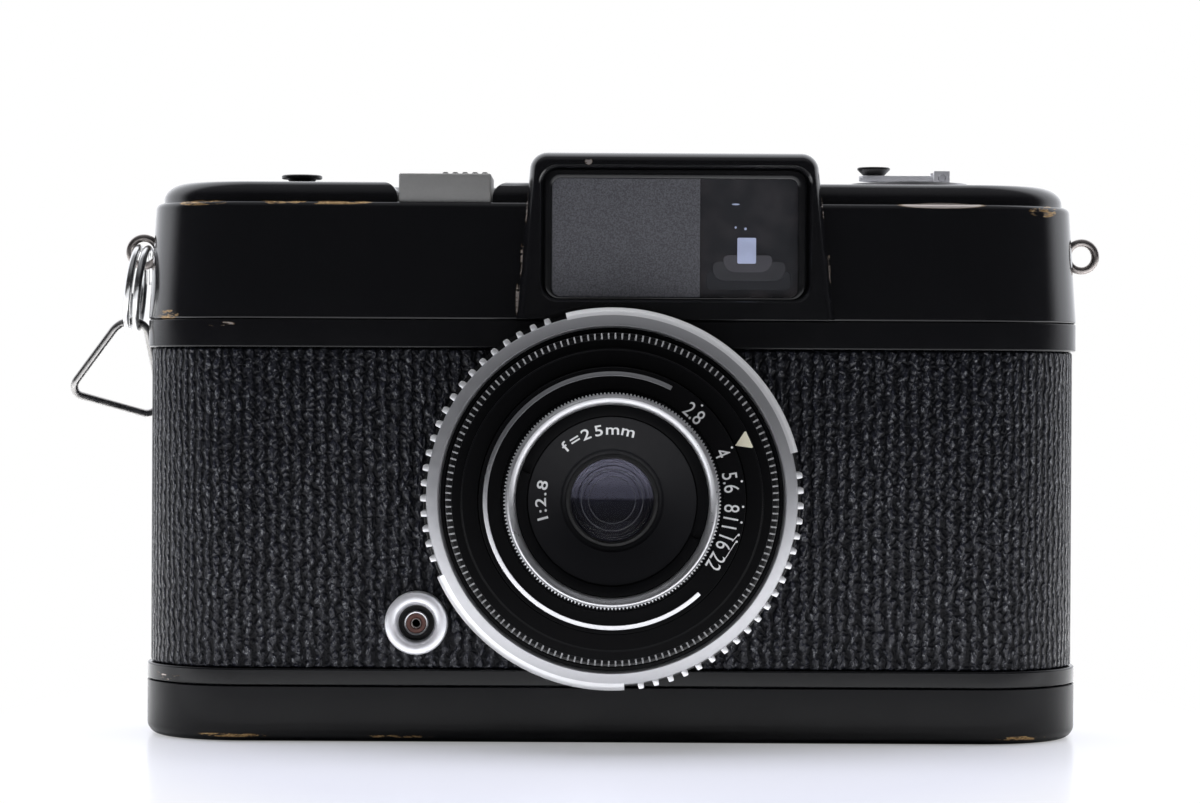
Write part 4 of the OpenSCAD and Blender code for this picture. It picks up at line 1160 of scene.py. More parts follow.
@dataclass
class TopCover(SubAssembly):
    """The pressed top cover with its raised deck and finder housing."""

    wall: float = 1.1
    draft: float = 0.8
    edge: float = 0.7
    shoulder: float = 0.8
    foot: Profile = ((0.22, 0.0), (0.06, 0.1), (0.0, 0.28))
    deck_inset: float = 1.7
    deck_roll: Pair = (2.9, 1.6)
    deck_rise: float = 1.9
    bay: tuple[float, float, float] = (-24.35, -13.65, -1.75)
    bay_roll: float = 1.8
    bay_corner: float = 0.6
    bay_mouth: float = 0.1
    hump_top: Pair = (-9.4, 23.1)
    hump_foot: Pair = (-10.9, 25.0)
    hump_y: Pair = (-16.1, 12.9)
    hump_floor: float = 47.75
    hump_r: float = 2.0
    hump_front: Pair = (1.1, 2.2)
    hump_rear: float = 0.8
    arch_y: float = -14.42
    arch_r: float = 21.75
    window: Pair = (7.0, 57.3)
    recess: tuple[tuple[float, float, float, float], ...] = (
        (30.8, 15.4, 2.2, -17.0), (30.8, 15.4, 2.2, -16.1), (30.5, 15.1, 2.1, -15.95),
        (30.0, 14.8, 1.9, -15.7), (29.6, 14.5, 1.8, -14.8))
    finder_room: tuple[Point, Point] = ((-7.2, -13.8, 49.6), (20.9, 11.3, 65.0))
    window_hole: tuple[Point, Point] = ((-7.0, -15.4, 50.1), (20.9, -11.4, 63.7))
    eye_hole: tuple[Point, Point] = ((10.8, 10.4, 52.55), (19.8, 15.4, 59.15))
    wheel_slot: tuple[Point, Point] = ((-46.7, 10.4, 50.8), (-25.9, 15.4, 55.6))
    pocket_front: float = -13.05
    pocket_floor: float = 57.2
    bores: tuple[Bore, ...] = (
        Bore(COUNTER, 62.1, ABOVE_Z, 8.8, 128), Bore(COUNTER, 57.9, 63.9, 1.6, 48),
        Bore(REWIND, 62.4, ABOVE_Z, 7.05, 128), Bore(REWIND, 57.9, 65.9, 2.3, 48))

    def build(self) -> None:
        """Builds the cover and its screws."""
        cover = cut(self._shell(), self._deck(), self._housing(), join=True)
        cut(cover, *self._hollows())
        cut(cover, *self._openings())
        bevel(cover, 0.10, 2, 48.0)
        even(cover, 34.0)
        self.keep(cover, Coat.BLACK_LACQUER, "body", "black_lacquer", "top_cover")
        self.keep(self.soften("cover_screws", 0.1), Coat.SCREW_STEEL, "body", "steel_bright", "cover_screws")

    def _shell(self) -> Piece:
        """Makes the outside up to the ledge, drawn in towards the top.

        Returns:
            The solid outside.
        """
        rings = [plan(inset, Z_TOP + up) for inset, up in self.foot]
        rise = Z_LEDGE - self.edge - Z_TOP
        for part in (0.35, 0.7, 1.0):
            rings.append(plan(self.draft * part, Z_TOP + rise * part))
        for inset, up in quarter(self.edge)[1:]:
            rings.append(plan(self.draft + inset, Z_LEDGE - self.edge + up))
        return loft("cover", rings)

    def _deck(self) -> Piece:
        """Makes the raised deck, with the bay of the release taken out of it.

        Returns:
            The deck.
        """
        foot = Z_PLATEAU - self.deck_rise
        rings = [plan(self.deck_inset, Z_LEDGE - 1)]
        for part, up in quarter(1.0, 9):
            along, deep = (self.deck_inset + part * roll for roll in self.deck_roll)
            rings.append(rounded((-HALF_W + along, -HALF_D + deep), (HALF_W - along, HALF_D - deep),
                                 CORNER - (along + deep) / 2, foot + up * self.deck_rise, 20))
        deck = loft("deck", rings)
        rings = [self._bay_line(0.0, Z_LEDGE)]
        for part, up in quarter(1.0, 8):
            rings.append(self._bay_line(self.bay_roll * part, foot + up * self.deck_rise))
        rings.append([(x, y, Z_PLATEAU + 2) for x, y, _ in rings[-1]])
        return cut(deck, loft("bay", rings))

    def _bay_line(self, wide: float, level: float) -> list[Point]:
        """Draws the bay's outline.

        Args:
            wide: how much it is widened.
            level: z.
        Returns:
            The outline.
        """
        left, right, rear = self.bay
        corners = (self.bay_mouth, self.bay_mouth, self.bay_corner + wide, self.bay_corner + wide)
        return rounded((left - wide, AHEAD_Y), (right + wide, rear + wide), corners, level, 6)

    def _slice(self, y: float, inset: float) -> list[Point]:
        """Draws one section of the finder housing, across the camera.

        Args:
            y: where it lies.
            inset: how far it is drawn in.
        Returns:
            Its outline.
        """
        (left, right), (foot_l, foot_r) = self.hump_top, self.hump_foot
        radius, middle = self.hump_r - inset, Z_HUMP - self.hump_r
        points = [(foot_l + inset, y, self.hump_floor), (foot_r - inset, y, self.hump_floor)]
        for x, start in ((right - self.hump_r, 0), (left + self.hump_r, 90)):
            for step in range(9):
                angle = math.radians(start + 90 * step / 8)
                points.append((x + radius * math.cos(angle), y, middle + radius * math.sin(angle)))
        return points

    def _housing(self) -> Piece:
        """Makes the finder housing, arched over the shutter and with the window's recess.

        Returns:
            The housing.
        """
        front, rear = self.hump_y
        roll, deep = self.hump_front
        rings = [self._slice(front + deep * (1 - up / roll), inset)
                 for inset, up in reversed(quarter(roll, 9))]
        rings += [self._slice(rear - self.hump_rear + up, inset) for inset, up in quarter(self.hump_rear, 5)]
        housing = loft("housing", rings)
        arch = rod("arch", (0, self.arch_y, LENS[2]), (0, AHEAD_Y, LENS[2]), self.arch_r, 160)
        x, z = self.window
        mouth = [upright(rounded((x - w / 2, z - h / 2), (x + w / 2, z + h / 2), r, 0, 8), y)
                 for w, h, r, y in self.recess]
        return cut(housing, arch, loft("recess", mouth))

    def _hollows(self) -> list[Piece]:
        """Makes the pieces that cut out the empty inside.

        Returns:
            The cover's and the finder's room.
        """
        top = Z_LEDGE - self.wall
        rings = [plan(self.wall, Z_TOP - 1), plan(self.wall, Z_TOP + 0.3),
                 plan(self.wall + self.draft, top - self.shoulder),
                 plan(self.wall + self.draft + self.shoulder, top)]
        return [loft("hollow", rings), box("finder_room", *self.finder_room)]

    def _openings(self) -> list[Piece]:
        """Makes the pieces that cut the window, eyepiece, release pocket, wells and wheel slot.

        Returns:
            The pieces, in the order of cutting.
        """
        left, right, rear = self.bay
        return [
            box("window", *self.window_hole),
            box("eye", *self.eye_hole),
            box("pocket", (left, self.pocket_front, self.pocket_floor), (right, rear, ABOVE_Z)),
            *(bore.tool() for bore in self.bores),
            box("wheel_slot", *self.wheel_slot),
        ]


def u_path(inset: float, seam: float, arc: int = 18) -> list[tuple[Pair, Pair]]:
    """Front half of the body's outline from right seam to left seam, with outward directions.

    Args:
        inset: how far it is drawn in.
        seam: y of its two ends.
        arc: steps in each corner.
    Returns:
        (point, outward) pairs, each (x, y).
    """
    x, y, r = HALF_W - inset, -HALF_D + inset, CORNER - inset
    path: list[tuple[Pair, Pair]] = [((x, seam), (1, 0)), ((x, (seam + y + r) / 2), (1, 0))]
    for side, start in ((1, 0), (-1, -90)):
        for step in range(arc + 1):
            angle = math.radians(start - 90 * step / arc)
            way = (math.cos(angle), math.sin(angle))
            path.append(((side * (x - r) + r * way[0], y + r + r * way[1]), way))
    return path + [((-x, (seam + y + r) / 2), (-1, 0)), ((-x, seam), (-1, 0))]


@dataclass
class BodyShell(SubAssembly):
    """Casting, bottom tray, back and the leatherette on both."""

    leather_inset: float = 0.4
    leather_depth: float = 0.5
    leather_roll: float = 0.32
    leather_gap: float = 0.06
    seam_gap: float = 0.12
    lens_hole: float = 19.7
    socket_hole: float = 3.62
    hole_y: Pair = (-10.0, -20.0)
    tray_roll: float = 1.5
    tray_flat: float = 0.03
    tray_lip: Profile = ((0.0, -0.12), (0.05, -0.04), (0.14, 0.0))
    tray_floor: float = 1.2
    tray_wall: float = 1.5
    boss_r: float = 7.4
    boss_top: float = 3.2
    tray_holes: tuple[Bore, ...] = (
        Bore((0.0, 0.0), -1.0, 2.2, 5.1, 96), Bore((LOCK_X, 0.0), -1.0, 1.5, 6.1, 96),
        Bore((LOCK_X, 0.0), -1.0, 4.2, 1.55, 96))

    def build(self) -> None:
        """Builds all of it."""
        self._front_leather()
        self.keep(self.soften("main_body", 0.22), Coat.BLACK_CASTING, "body", "black_casting", "main_body")
        self.keep(self._tray(), Coat.TRAY_LACQUER, "back", "black_lacquer", "bottom_tray")
        self.keep(self.soften("back_cover", 0.2), Coat.TRAY_LACQUER, "back", "black_lacquer", "back_cover")
        rear = self.soften("back_leatherette", 0.15)
        self.keep(rear, Coat.LEATHERETTE, "back", "leatherette", "back_leatherette")

    def _front_leather(self) -> None:
        """The covering in front, cut out for the shutter and the flash socket."""
        low, high = Z_LEATHER + self.leather_gap, Z_STRIP - self.leather_gap
        roll, turns = self.leather_roll, quarter(self.leather_roll, 4)
        section = [(self.leather_depth, low)]
        section += [(roll - up, low + inset) for inset, up in turns]
        section += [(roll - up, high - inset) for inset, up in reversed(turns)]
        section.append((self.leather_depth, high))
        path = u_path(self.leather_inset, SEAM_Y - self.seam_gap)
        holes: list[Piece] = []
        sheet = loft("leather_front", [[(x - nx * depth, y - ny * depth, z) for depth, z in section]
                                       for (x, y), (nx, ny) in path])
        for (x, _, z), radius, sides in ((LENS, self.lens_hole, 128), (SOCKET, self.socket_hole, 64)):
            holes.append(rod("hole", *((x, y, z) for y in self.hole_y), radius, sides))
        cut(sheet, *holes)
        smooth(sheet, 40.0)
        self.keep(sheet, Coat.LEATHERETTE, "body", "leatherette", "front_leatherette")

    def _tray(self) -> Piece:
        """Makes the bottom tray, rounded underneath and hollow, with holes for lock and tripod bush.

        Returns:
            The tray.
        """
        roll = self.tray_roll
        rings = [plan(roll - up, max(inset, self.tray_flat)) for inset, up in quarter(roll, 8)]
        rings += [plan(inset, Z_SEAM + up) for inset, up in self.tray_lip]
        tray = loft("tray", rings)
        cut(tray, loft("tray_room", [plan(self.tray_wall, level) for level in (self.tray_floor, Z_SEAM + 1)]))
        boss = rod("boss", (LOCK_X, 0, self.tray_floor / 2), (LOCK_X, 0, self.boss_top), self.boss_r, 96)
        cut(tray, boss, join=True)
        cut(tray, *(hole.tool() for hole in self.tray_holes))
        bevel(tray, 0.08, 2, 50.0)
        return even(tray, 34.0)


def front_frame(angle: float, radius: float, height: float, slope: float = 0.0, wide: float = 1.0) -> Matrix:
    """Where a character lies on a ring round the lens, its top outward.

    Args:
        angle: degrees, counter-clockwise from the right.
        radius: of the character's middle.
        height: distance in front of y = 0.
        slope: degrees by which its top leans forward.
        wide: how much it is stretched sideways.
    Returns:
        The placing matrix, in mm.
    """
    turn, lean = math.radians(angle), math.radians(slope)
    out = Vector((math.cos(turn), 0.0, math.sin(turn)))
    front = Vector((0.0, -1.0, 0.0))
    side = Vector((math.sin(turn), 0.0, -math.cos(turn)))
    up = out * math.cos(lean) + front * math.sin(lean)
    face = side.cross(up)
    place = Axis.FRONT.point(LENS, radius, height, turn)
    return Matrix.Translation(place) @ Matrix((side * wide, up, face)).transposed().to_4x4()


def turned(name: str, section: Sequence[Pair], steps: int = 160, shade: float = 32.0) -> Piece:
    """A piece turned round the lens's axis; heights are in front of y = 0."""
    return lathe(name, section, LENS, Axis.FRONT, steps, shade)


def arc_bar(name: str, section: Sequence[Pair], start: float, end: float, step: float = 1.5) -> Piece:
    """Part of a ring round the lens, between two angles in degrees.

    Args:
        name: object name.
        section: (radius, height) pairs.
        start, end: the angles.
        step: largest angle of one face.
    Returns:
        The new object.
    """
    count = max(2, math.ceil(abs(end - start) / step))
    turns = (math.radians(start + (end - start) * i / count) for i in range(count + 1))
    return loft(name, [[tuple(Axis.FRONT.point(LENS, r, h, t)) for r, h in section] for t in turns])


def ring_of(piece: Piece, angles: Iterable[float]) -> list[Piece]:
    """Sets copies of a piece round the lens and removes the piece itself.

    Args:
        piece: what is copied.
        angles: of the copies, in radians.
    Returns:
        The copies.
    """
    copies = [twin(piece, around(LENS, Axis.FRONT, angle)) for angle in angles]
    bpy.data.meshes.remove(piece.data)
    return copies


def knurl(obj: Piece, count: int, inner: float, depth: float, low: float, high: float) -> None:
    """Presses grooves into a ring round the lens.

    Args:
        obj: a lathe with four steps for each groove.
        count: how many grooves.
        inner: points at least this far out are moved.
        depth: of the grooves in mm.
        low, high: distances in front of y = 0 between which points are moved.
    """
    for vertex in obj.data.vertices:
        x, z = vertex.co.x / MM - LENS[0], vertex.co.z / MM - LENS[2]
        radius, height = math.hypot(x, z), -vertex.co.y / MM
        if radius < inner or not low <= height <= high:
            continue
        step = round(math.atan2(z, x) / FULL_TURN * count * 4) % 4
        if step in (2, 3):
            factor = (radius - depth) / radius
            vertex.co.x = (LENS[0] + x * factor) * MM
            vertex.co.z = (LENS[2] + z * factor) * MM


@dataclass
class SpeedRing(SubAssembly):
    """The shutter's case and the silver speed ring with two toothed grips."""

    section: Profile = (
        (18.98, 15.65), (20.5, 15.65), (20.6, 15.8), (20.6, 20.4), (20.5, 20.58), (19.45, 21.15),
        (19.32, 21.18), (19.2, 21.12), (19.02, 20.9), (18.98, 20.8))
    lip: Profile = ((18.5, 15.7), (19.0, 15.7), (19.0, 20.7), (18.92, 20.82), (18.6, 20.86), (18.5, 20.75))
    rim: Profile = (
        (20.4, 15.65), (21.1, 15.65), (21.25, 15.8), (21.25, 19.86), (21.21, 19.96), (20.84, 20.38),
        (20.76, 20.45), (20.4, 20.64))
    plain: tuple[Pair, ...] = ((14.6, 104.3), (204.4, 274.0))
    grips: tuple[float, ...] = (201.0, 9.8)
    grip_span: float = 93.0
    teeth: int = 20
    tooth_r: Pair = (20.4, 21.25)
    tooth_y: Pair = (-20.4, -15.65)
    tooth_half: float = 0.38
    tooth_taper: float = 0.8

    def build(self) -> None:
        """Builds the case, the lip, the ring and its edge."""
        self.keep(self.soften("shutter_case", 0.15), Coat.BLACK_TRIM, "body", "black_trim", "shutter_case")
        self.keep(turned("speed_ring_lip", self.lip, 192, 24.0), Coat.RING_BLACK, "speed_ring", "black_trim")
        ring = turned("speed_ring_look", self.section, 256, 24.0)
        edge = [smooth(arc_bar("speed_rim", self.rim, start, end), 24.0) for start, end in self.plain]
        turns = [math.radians(start - (index + 0.5) * self.grip_span / self.teeth)
                 for start in self.grips for index in range(self.teeth)]
        edge += ring_of(self._tooth(), turns)
        self.keep(ring, Coat.SATIN_SILVER, "speed_ring", "satin_silver", "speed_ring")
        self.keep(merge("speed_ring_edge", edge), Coat.RIM_SILVER, "speed_ring", "satin_silver")

    def _tooth(self) -> Piece:
        """Makes one tooth at the ring's right, narrower outside.

        Returns:
            The tooth.
        """
        (inner, outer), (front, back) = self.tooth_r, self.tooth_y
        middle, half = LENS[2], self.tooth_half
        tooth = box("tooth", (inner, front, middle - half), (outer, back, middle + half))
        for vertex in tooth.data.vertices:
            if vertex.co.x > (inner + outer) / 2 * MM:
                vertex.co.z = middle * MM + (vertex.co.z - middle * MM) * self.tooth_taper
        bevel(tooth, 0.13, 2, 30.0)
        return smooth(tooth, 30.0)


@dataclass
class ApertureRing(SubAssembly):
    """Black ring with a ribbed rim and a cream index."""

    section: Profile = ((14.7, 21.6), (18.1, 21.6), (18.1, 22.3), (17.7, 22.7), (17.62, 22.95), (16.75, 23.0),
                        (16.62, 23.1), (16.58, 23.85), (16.45, 23.98), (14.8, 24.0), (14.7, 23.9))
    ribs: int = 150
    rib_r: Pair = (17.7, 18.4)
    rib_y: Pair = (-22.85, -21.7)
    rib_half: float = 0.1
    rib_slope: float = 0.85
    index_angle: float = 24.3
    index_r: float = 14.78
    index_height: Pair = (23.9, 24.03)
    index_line: Profile = ((0, 0), (0.98, 1.55), (0.95, 1.72), (-0.95, 1.72), (-0.98, 1.55))

    def build(self) -> None:
        """Builds the ring, its ribs and the index."""
        ring = turned("aperture_ring_look", self.section, 240, 24.0)
        self.keep(ring, Coat.RING_BLACK, "aperture_ring", "black_trim", "aperture_ring")
        ribs = ring_of(self._rib(), (FULL_TURN * (index + 0.125) / self.ribs for index in range(self.ribs)))
        self.keep(smooth(merge("aperture_ribs", ribs)), Coat.RIB_METAL, "aperture_ring", "black_trim")
        frames = [front_frame(self.index_angle, self.index_r, height) for height in self.index_height]
        mark = loft("aperture_index", [[tuple(at @ Vector((x, y, 0))) for x, y in self.index_line]
                                       for at in frames])
        self.keep(mark, Coat.CREAM, "aperture_ring", "black_trim")

    def _rib(self) -> Piece:
        """Makes one rib at the ring's right, sloped in front.

        Returns:
            The rib.
        """
        (inner, outer), (front, back) = self.rib_r, self.rib_y
        rib = box("rib", (inner, front, LENS[2] - self.rib_half), (outer, back, LENS[2] + self.rib_half))
        for vertex in rib.data.vertices:
            if vertex.co.x > (inner + outer) / 2 * MM and vertex.co.y < (front + back) / 2 * MM:
                vertex.co.y += self.rib_slope * MM
        return bevel(rib, 0.06, 2, 30.0)


@dataclass
class ApertureScale(SubAssembly):
    """The fixed scale with its numbers, dots and bright arc, and the sleeve inside it."""

    section: Profile = (
        (12.2, 24.1), (14.55, 24.1), (14.6, 24.15), (14.6, 25.46), (14.56, 25.5), (12.2, 25.5))
    arc: Profile = (
        (13.66, 25.4), (14.14, 25.4), (14.14, 25.52), (14.1, 25.55), (13.7, 25.68), (13.66, 25.66))
    arc_span: Pair = (62.5, 313.5)
    numbers: tuple[tuple[str, float], ...] = (
        ("2.8", 47.2), ("4", 23.6), ("5.6", 9.2), ("8", -3.4), ("11", -10.4), ("16", -19.6), ("22", -30.2))
    number_size: float = 2.4
    number_r: float = 13.0
    number_wide: float = 0.8
    dots: tuple[float, ...] = (47.0, 24.3, 8.9, -2.3, -9.2, -14.8, -17.9)
    dot_r: float = 14.32
    leaders: tuple[Pair, ...] = ((-14.8, -18.4), (-17.9, -28.0))
    leader_r: Pair = (14.25, 13.85)
    face: float = 25.5
    sleeve: Profile = ((10.55, 17.4), (12.2, 17.4), (12.2, 25.4), (12.1, 25.5), (10.65, 25.5), (10.55, 25.4))

    def build(self) -> None:
        """Builds the disc, the arc, the marks and the sleeve."""
        disc = turned("scale_disc_look", self.section, 200)
        self.keep(disc, Coat.RING_BLACK, "body", "black_trim", "scale_disc")
        arc = smooth(arc_bar("scale_arc", self.arc, *self.arc_span))
        self.keep(arc, Coat.ARC_SILVER, "body", "black_trim")
        self.keep(merge("scale_marks", self._marks()), Coat.WHITE_FILL, "body", "black_trim")
        sleeve = turned("lens_barrel_look", self.sleeve)
        self.keep(sleeve, Coat.RING_BLACK, "body", "black_trim", "lens_barrel")

    def _marks(self) -> list[Piece]:
        """Makes the numbers, the dots and the two leaders between them.

        Returns:
            All marks.
        """
        marks = []
        for text, angle in self.numbers:
            frame = front_frame(angle, self.number_r, 25.51, 0.0, self.number_wide)
            marks.append(lettering("mark", text, self.number_size, frame))
        for angle in self.dots:
            at = Axis.FRONT.point(LENS, self.dot_r, 25.45, math.radians(angle))
            marks.append(rod("dot", at, at + Vector((0, -0.08, 0)), 0.13, 16))
        for angles in self.leaders:
            start, end = (Axis.FRONT.point(LENS, radius, self.face, math.radians(angle))
                          for radius, angle in zip(self.leader_r, angles))
            marks.append(rod("leader", start, end, 0.045, 8))
        return marks


@dataclass
class LensHead(SubAssembly):
    """What turns with the focus ring: the ring, the front cell, the name ring and the glass."""

    ring: Profile = (
        (10.5, 25.75), (11.6, 25.75), (11.85, 25.9), (11.85, 27.0), (11.74, 27.15), (11.62, 27.2),
        (11.6, 27.45), (11.54, 27.7), (11.42, 27.88), (11.28, 27.96), (11.12, 27.94), (10.9, 27.82),
        (10.7, 27.62), (10.55, 27.4), (10.5, 27.2))
    grooves: int = 180
    groove_depth: float = 0.2
    groove_inner: float = 11.7
    groove_span: Pair = (25.8, 27.18)
    cell_outside: Profile = ((5.9, 18.6), (10.5, 18.6), (10.5, 27.1), (10.4, 27.22), (9.75, 27.25))
    cell_inside: Profile = ((9.3, 26.45), (8.9, 26.35), (8.8, 20.8), (5.9, 20.8))
    thread_turns: int = 5
    thread_pitch: float = 0.14
    thread_r: Pair = (9.32, 9.62)
    thread_top: float = 27.2
    slots: tuple[float, ...] = (-21.0, 159.0)
    slot_r: Pair = (9.2, 10.9)
    slot_y: Pair = (-29.0, -26.8)
    slot_half: float = 0.5
    cone: Profile = ((5.2, 24.3), (9.22, 26.55), (9.26, 26.62), (9.18, 26.72), (8.98, 26.66), (5.85, 24.88),
                     (5.68, 24.82), (5.55, 24.6), (5.3, 24.3), (5.1, 24.2), (5.1, 23.8), (5.2, 23.8))
    cone_foot: Pair = (5.5, 24.68)
    cone_rise: float = 1.98 / 3.48
    letters: tuple[tuple[str, tuple[float, ...]], ...] = (
        ("f=25mm", (131.5, 121.7, 111.9, 101.2, 90.0, 77.2)), ("1:2.8", (194.5, 188.5, 181.5, 174.5, 167.5)))
    letter_r: float = 7.75
    letter_lift: float = 0.012
    letter_size: float = 1.9
    letter_wide: float = 1.12
    glass_r: float = 4.9
    glass_top: float = 24.55
    glass_back: float = 23.4
    glass_bend: float = 14.0
    bowl_r: float = 4.55
    bowl_height: Pair = (21.75, 1.2)
    bowl_back: float = 21.6
    rims: tuple[Pair, ...] = ((2.55, 0.06), (3.35, 0.09))
    rim_height: Pair = (22.9, 22.95)
    seat: Profile = (
        (5.05, 24.25), (4.75, 24.3), (4.7, 23.9), (4.6, 23.9), (4.5, 21.0), (4.2, 21.0), (4.1, 18.8),
        (5.6, 18.8), (5.6, 20.7), (5.05, 20.7))

    def build(self) -> None:
        """Builds it from outside in."""
        ring = turned("focus_ring_look", self.ring, self.grooves * 4, 28.0)
        knurl(ring, self.grooves, self.groove_inner, self.groove_depth, *self.groove_span)
        smooth(ring, 22.0)
        self.keep(ring, Coat.FOCUS_SILVER, "focus_ring", "satin_silver", "focus_ring")
        self._front_cell()
        self._name_ring()
        self._glass()

    def _front_cell(self) -> None:
        """Black mouth with the filter thread and two spanner slots."""
        section = list(self.cell_outside)
        crest, root = self.thread_r
        for index in range(self.thread_turns):
            top = self.thread_top - index * self.thread_pitch
            section += [(crest, top - self.thread_pitch / 2), (root, top - self.thread_pitch)]
        cell = turned("front_cell_look", section + list(self.cell_inside), 160, 25.0)
        (inner, outer), (front, back) = self.slot_r, self.slot_y
        middle, half = LENS[2], self.slot_half
        for angle in self.slots:
            slot = box("slot", (inner, front, middle - half), (outer, back, middle + half))
            slot.data.transform(around(LENS, Axis.FRONT, math.radians(angle)))
            cut(cell, slot)
        smooth(cell, 25.0)
        self.keep(cell, Coat.RING_BLACK, "focus_ring", "black_trim", "front_cell")

    def _name_ring(self) -> None:
        """Dark cone in front of the glass, with the lens data."""
        self.keep(turned("name_ring_look", self.cone), Coat.NAME_GREY, "focus_ring", "name_grey", "name_ring")
        slope = math.degrees(math.atan(self.cone_rise))
        radius, foot = self.cone_foot
        height = foot + (self.letter_r - radius) * self.cone_rise + self.letter_lift
        marks = []
        for text, angles in self.letters:
            for letter, angle in zip(text, angles):
                frame = front_frame(angle, self.letter_r, height, slope, self.letter_wide)
                marks.append(lettering("letter", letter, self.letter_size, frame, 0.02))
        self.keep(merge("name_marks", marks), Coat.WHITE_FILL, "focus_ring", "name_grey")

    def _glass(self) -> None:
        """Front element, the coated surface and rims behind it, and their dark seat."""
        bend, middle = self.glass_bend, self.glass_top - self.glass_bend
        radii = [self.glass_r * step / 12 for step in range(13)]
        dome = [(r, middle + math.sqrt(bend * bend - r * r)) for r in radii]
        dome += [(self.glass_r, self.glass_back), (0.0, self.glass_back)]
        front = turned("front_lens_look", dome, 96, 40.0)
        self.keep(front, Coat.CLEAR_GLASS, "focus_ring", "coated_glass", "front_lens")
        low, rise = self.bowl_height
        bowl = [(self.bowl_r * step / 12, low + rise * (step / 12) ** 2) for step in range(13)]
        bowl += [(self.bowl_r, self.bowl_back), (0.0, self.bowl_back)]
        self.keep(turned("lens_inner", bowl, 96, 40.0), Coat.COATED_GLASS, "focus_ring", "coated_glass")
        back, face = self.rim_height
        rims = [turned("rim", [(r, back), (r + w, back), (r + w, face), (r, face)], 96) for r, w in self.rims]
        self.keep(merge("lens_rims", rims), Coat.BLADE_STEEL, "focus_ring", "coated_glass")
        self.keep(turned("lens_seat", self.seat, 128, 25.0), Coat.MATT_BLACK, "focus_ring", "black_trim")


@dataclass(frozen=True)
class Mask:
    """One of the stepped plates seen in the finder, glowing in painted light."""

    low: Pair
    high: Pair
    radius: float | tuple[float, ...]
    front: float
    coat: Coat


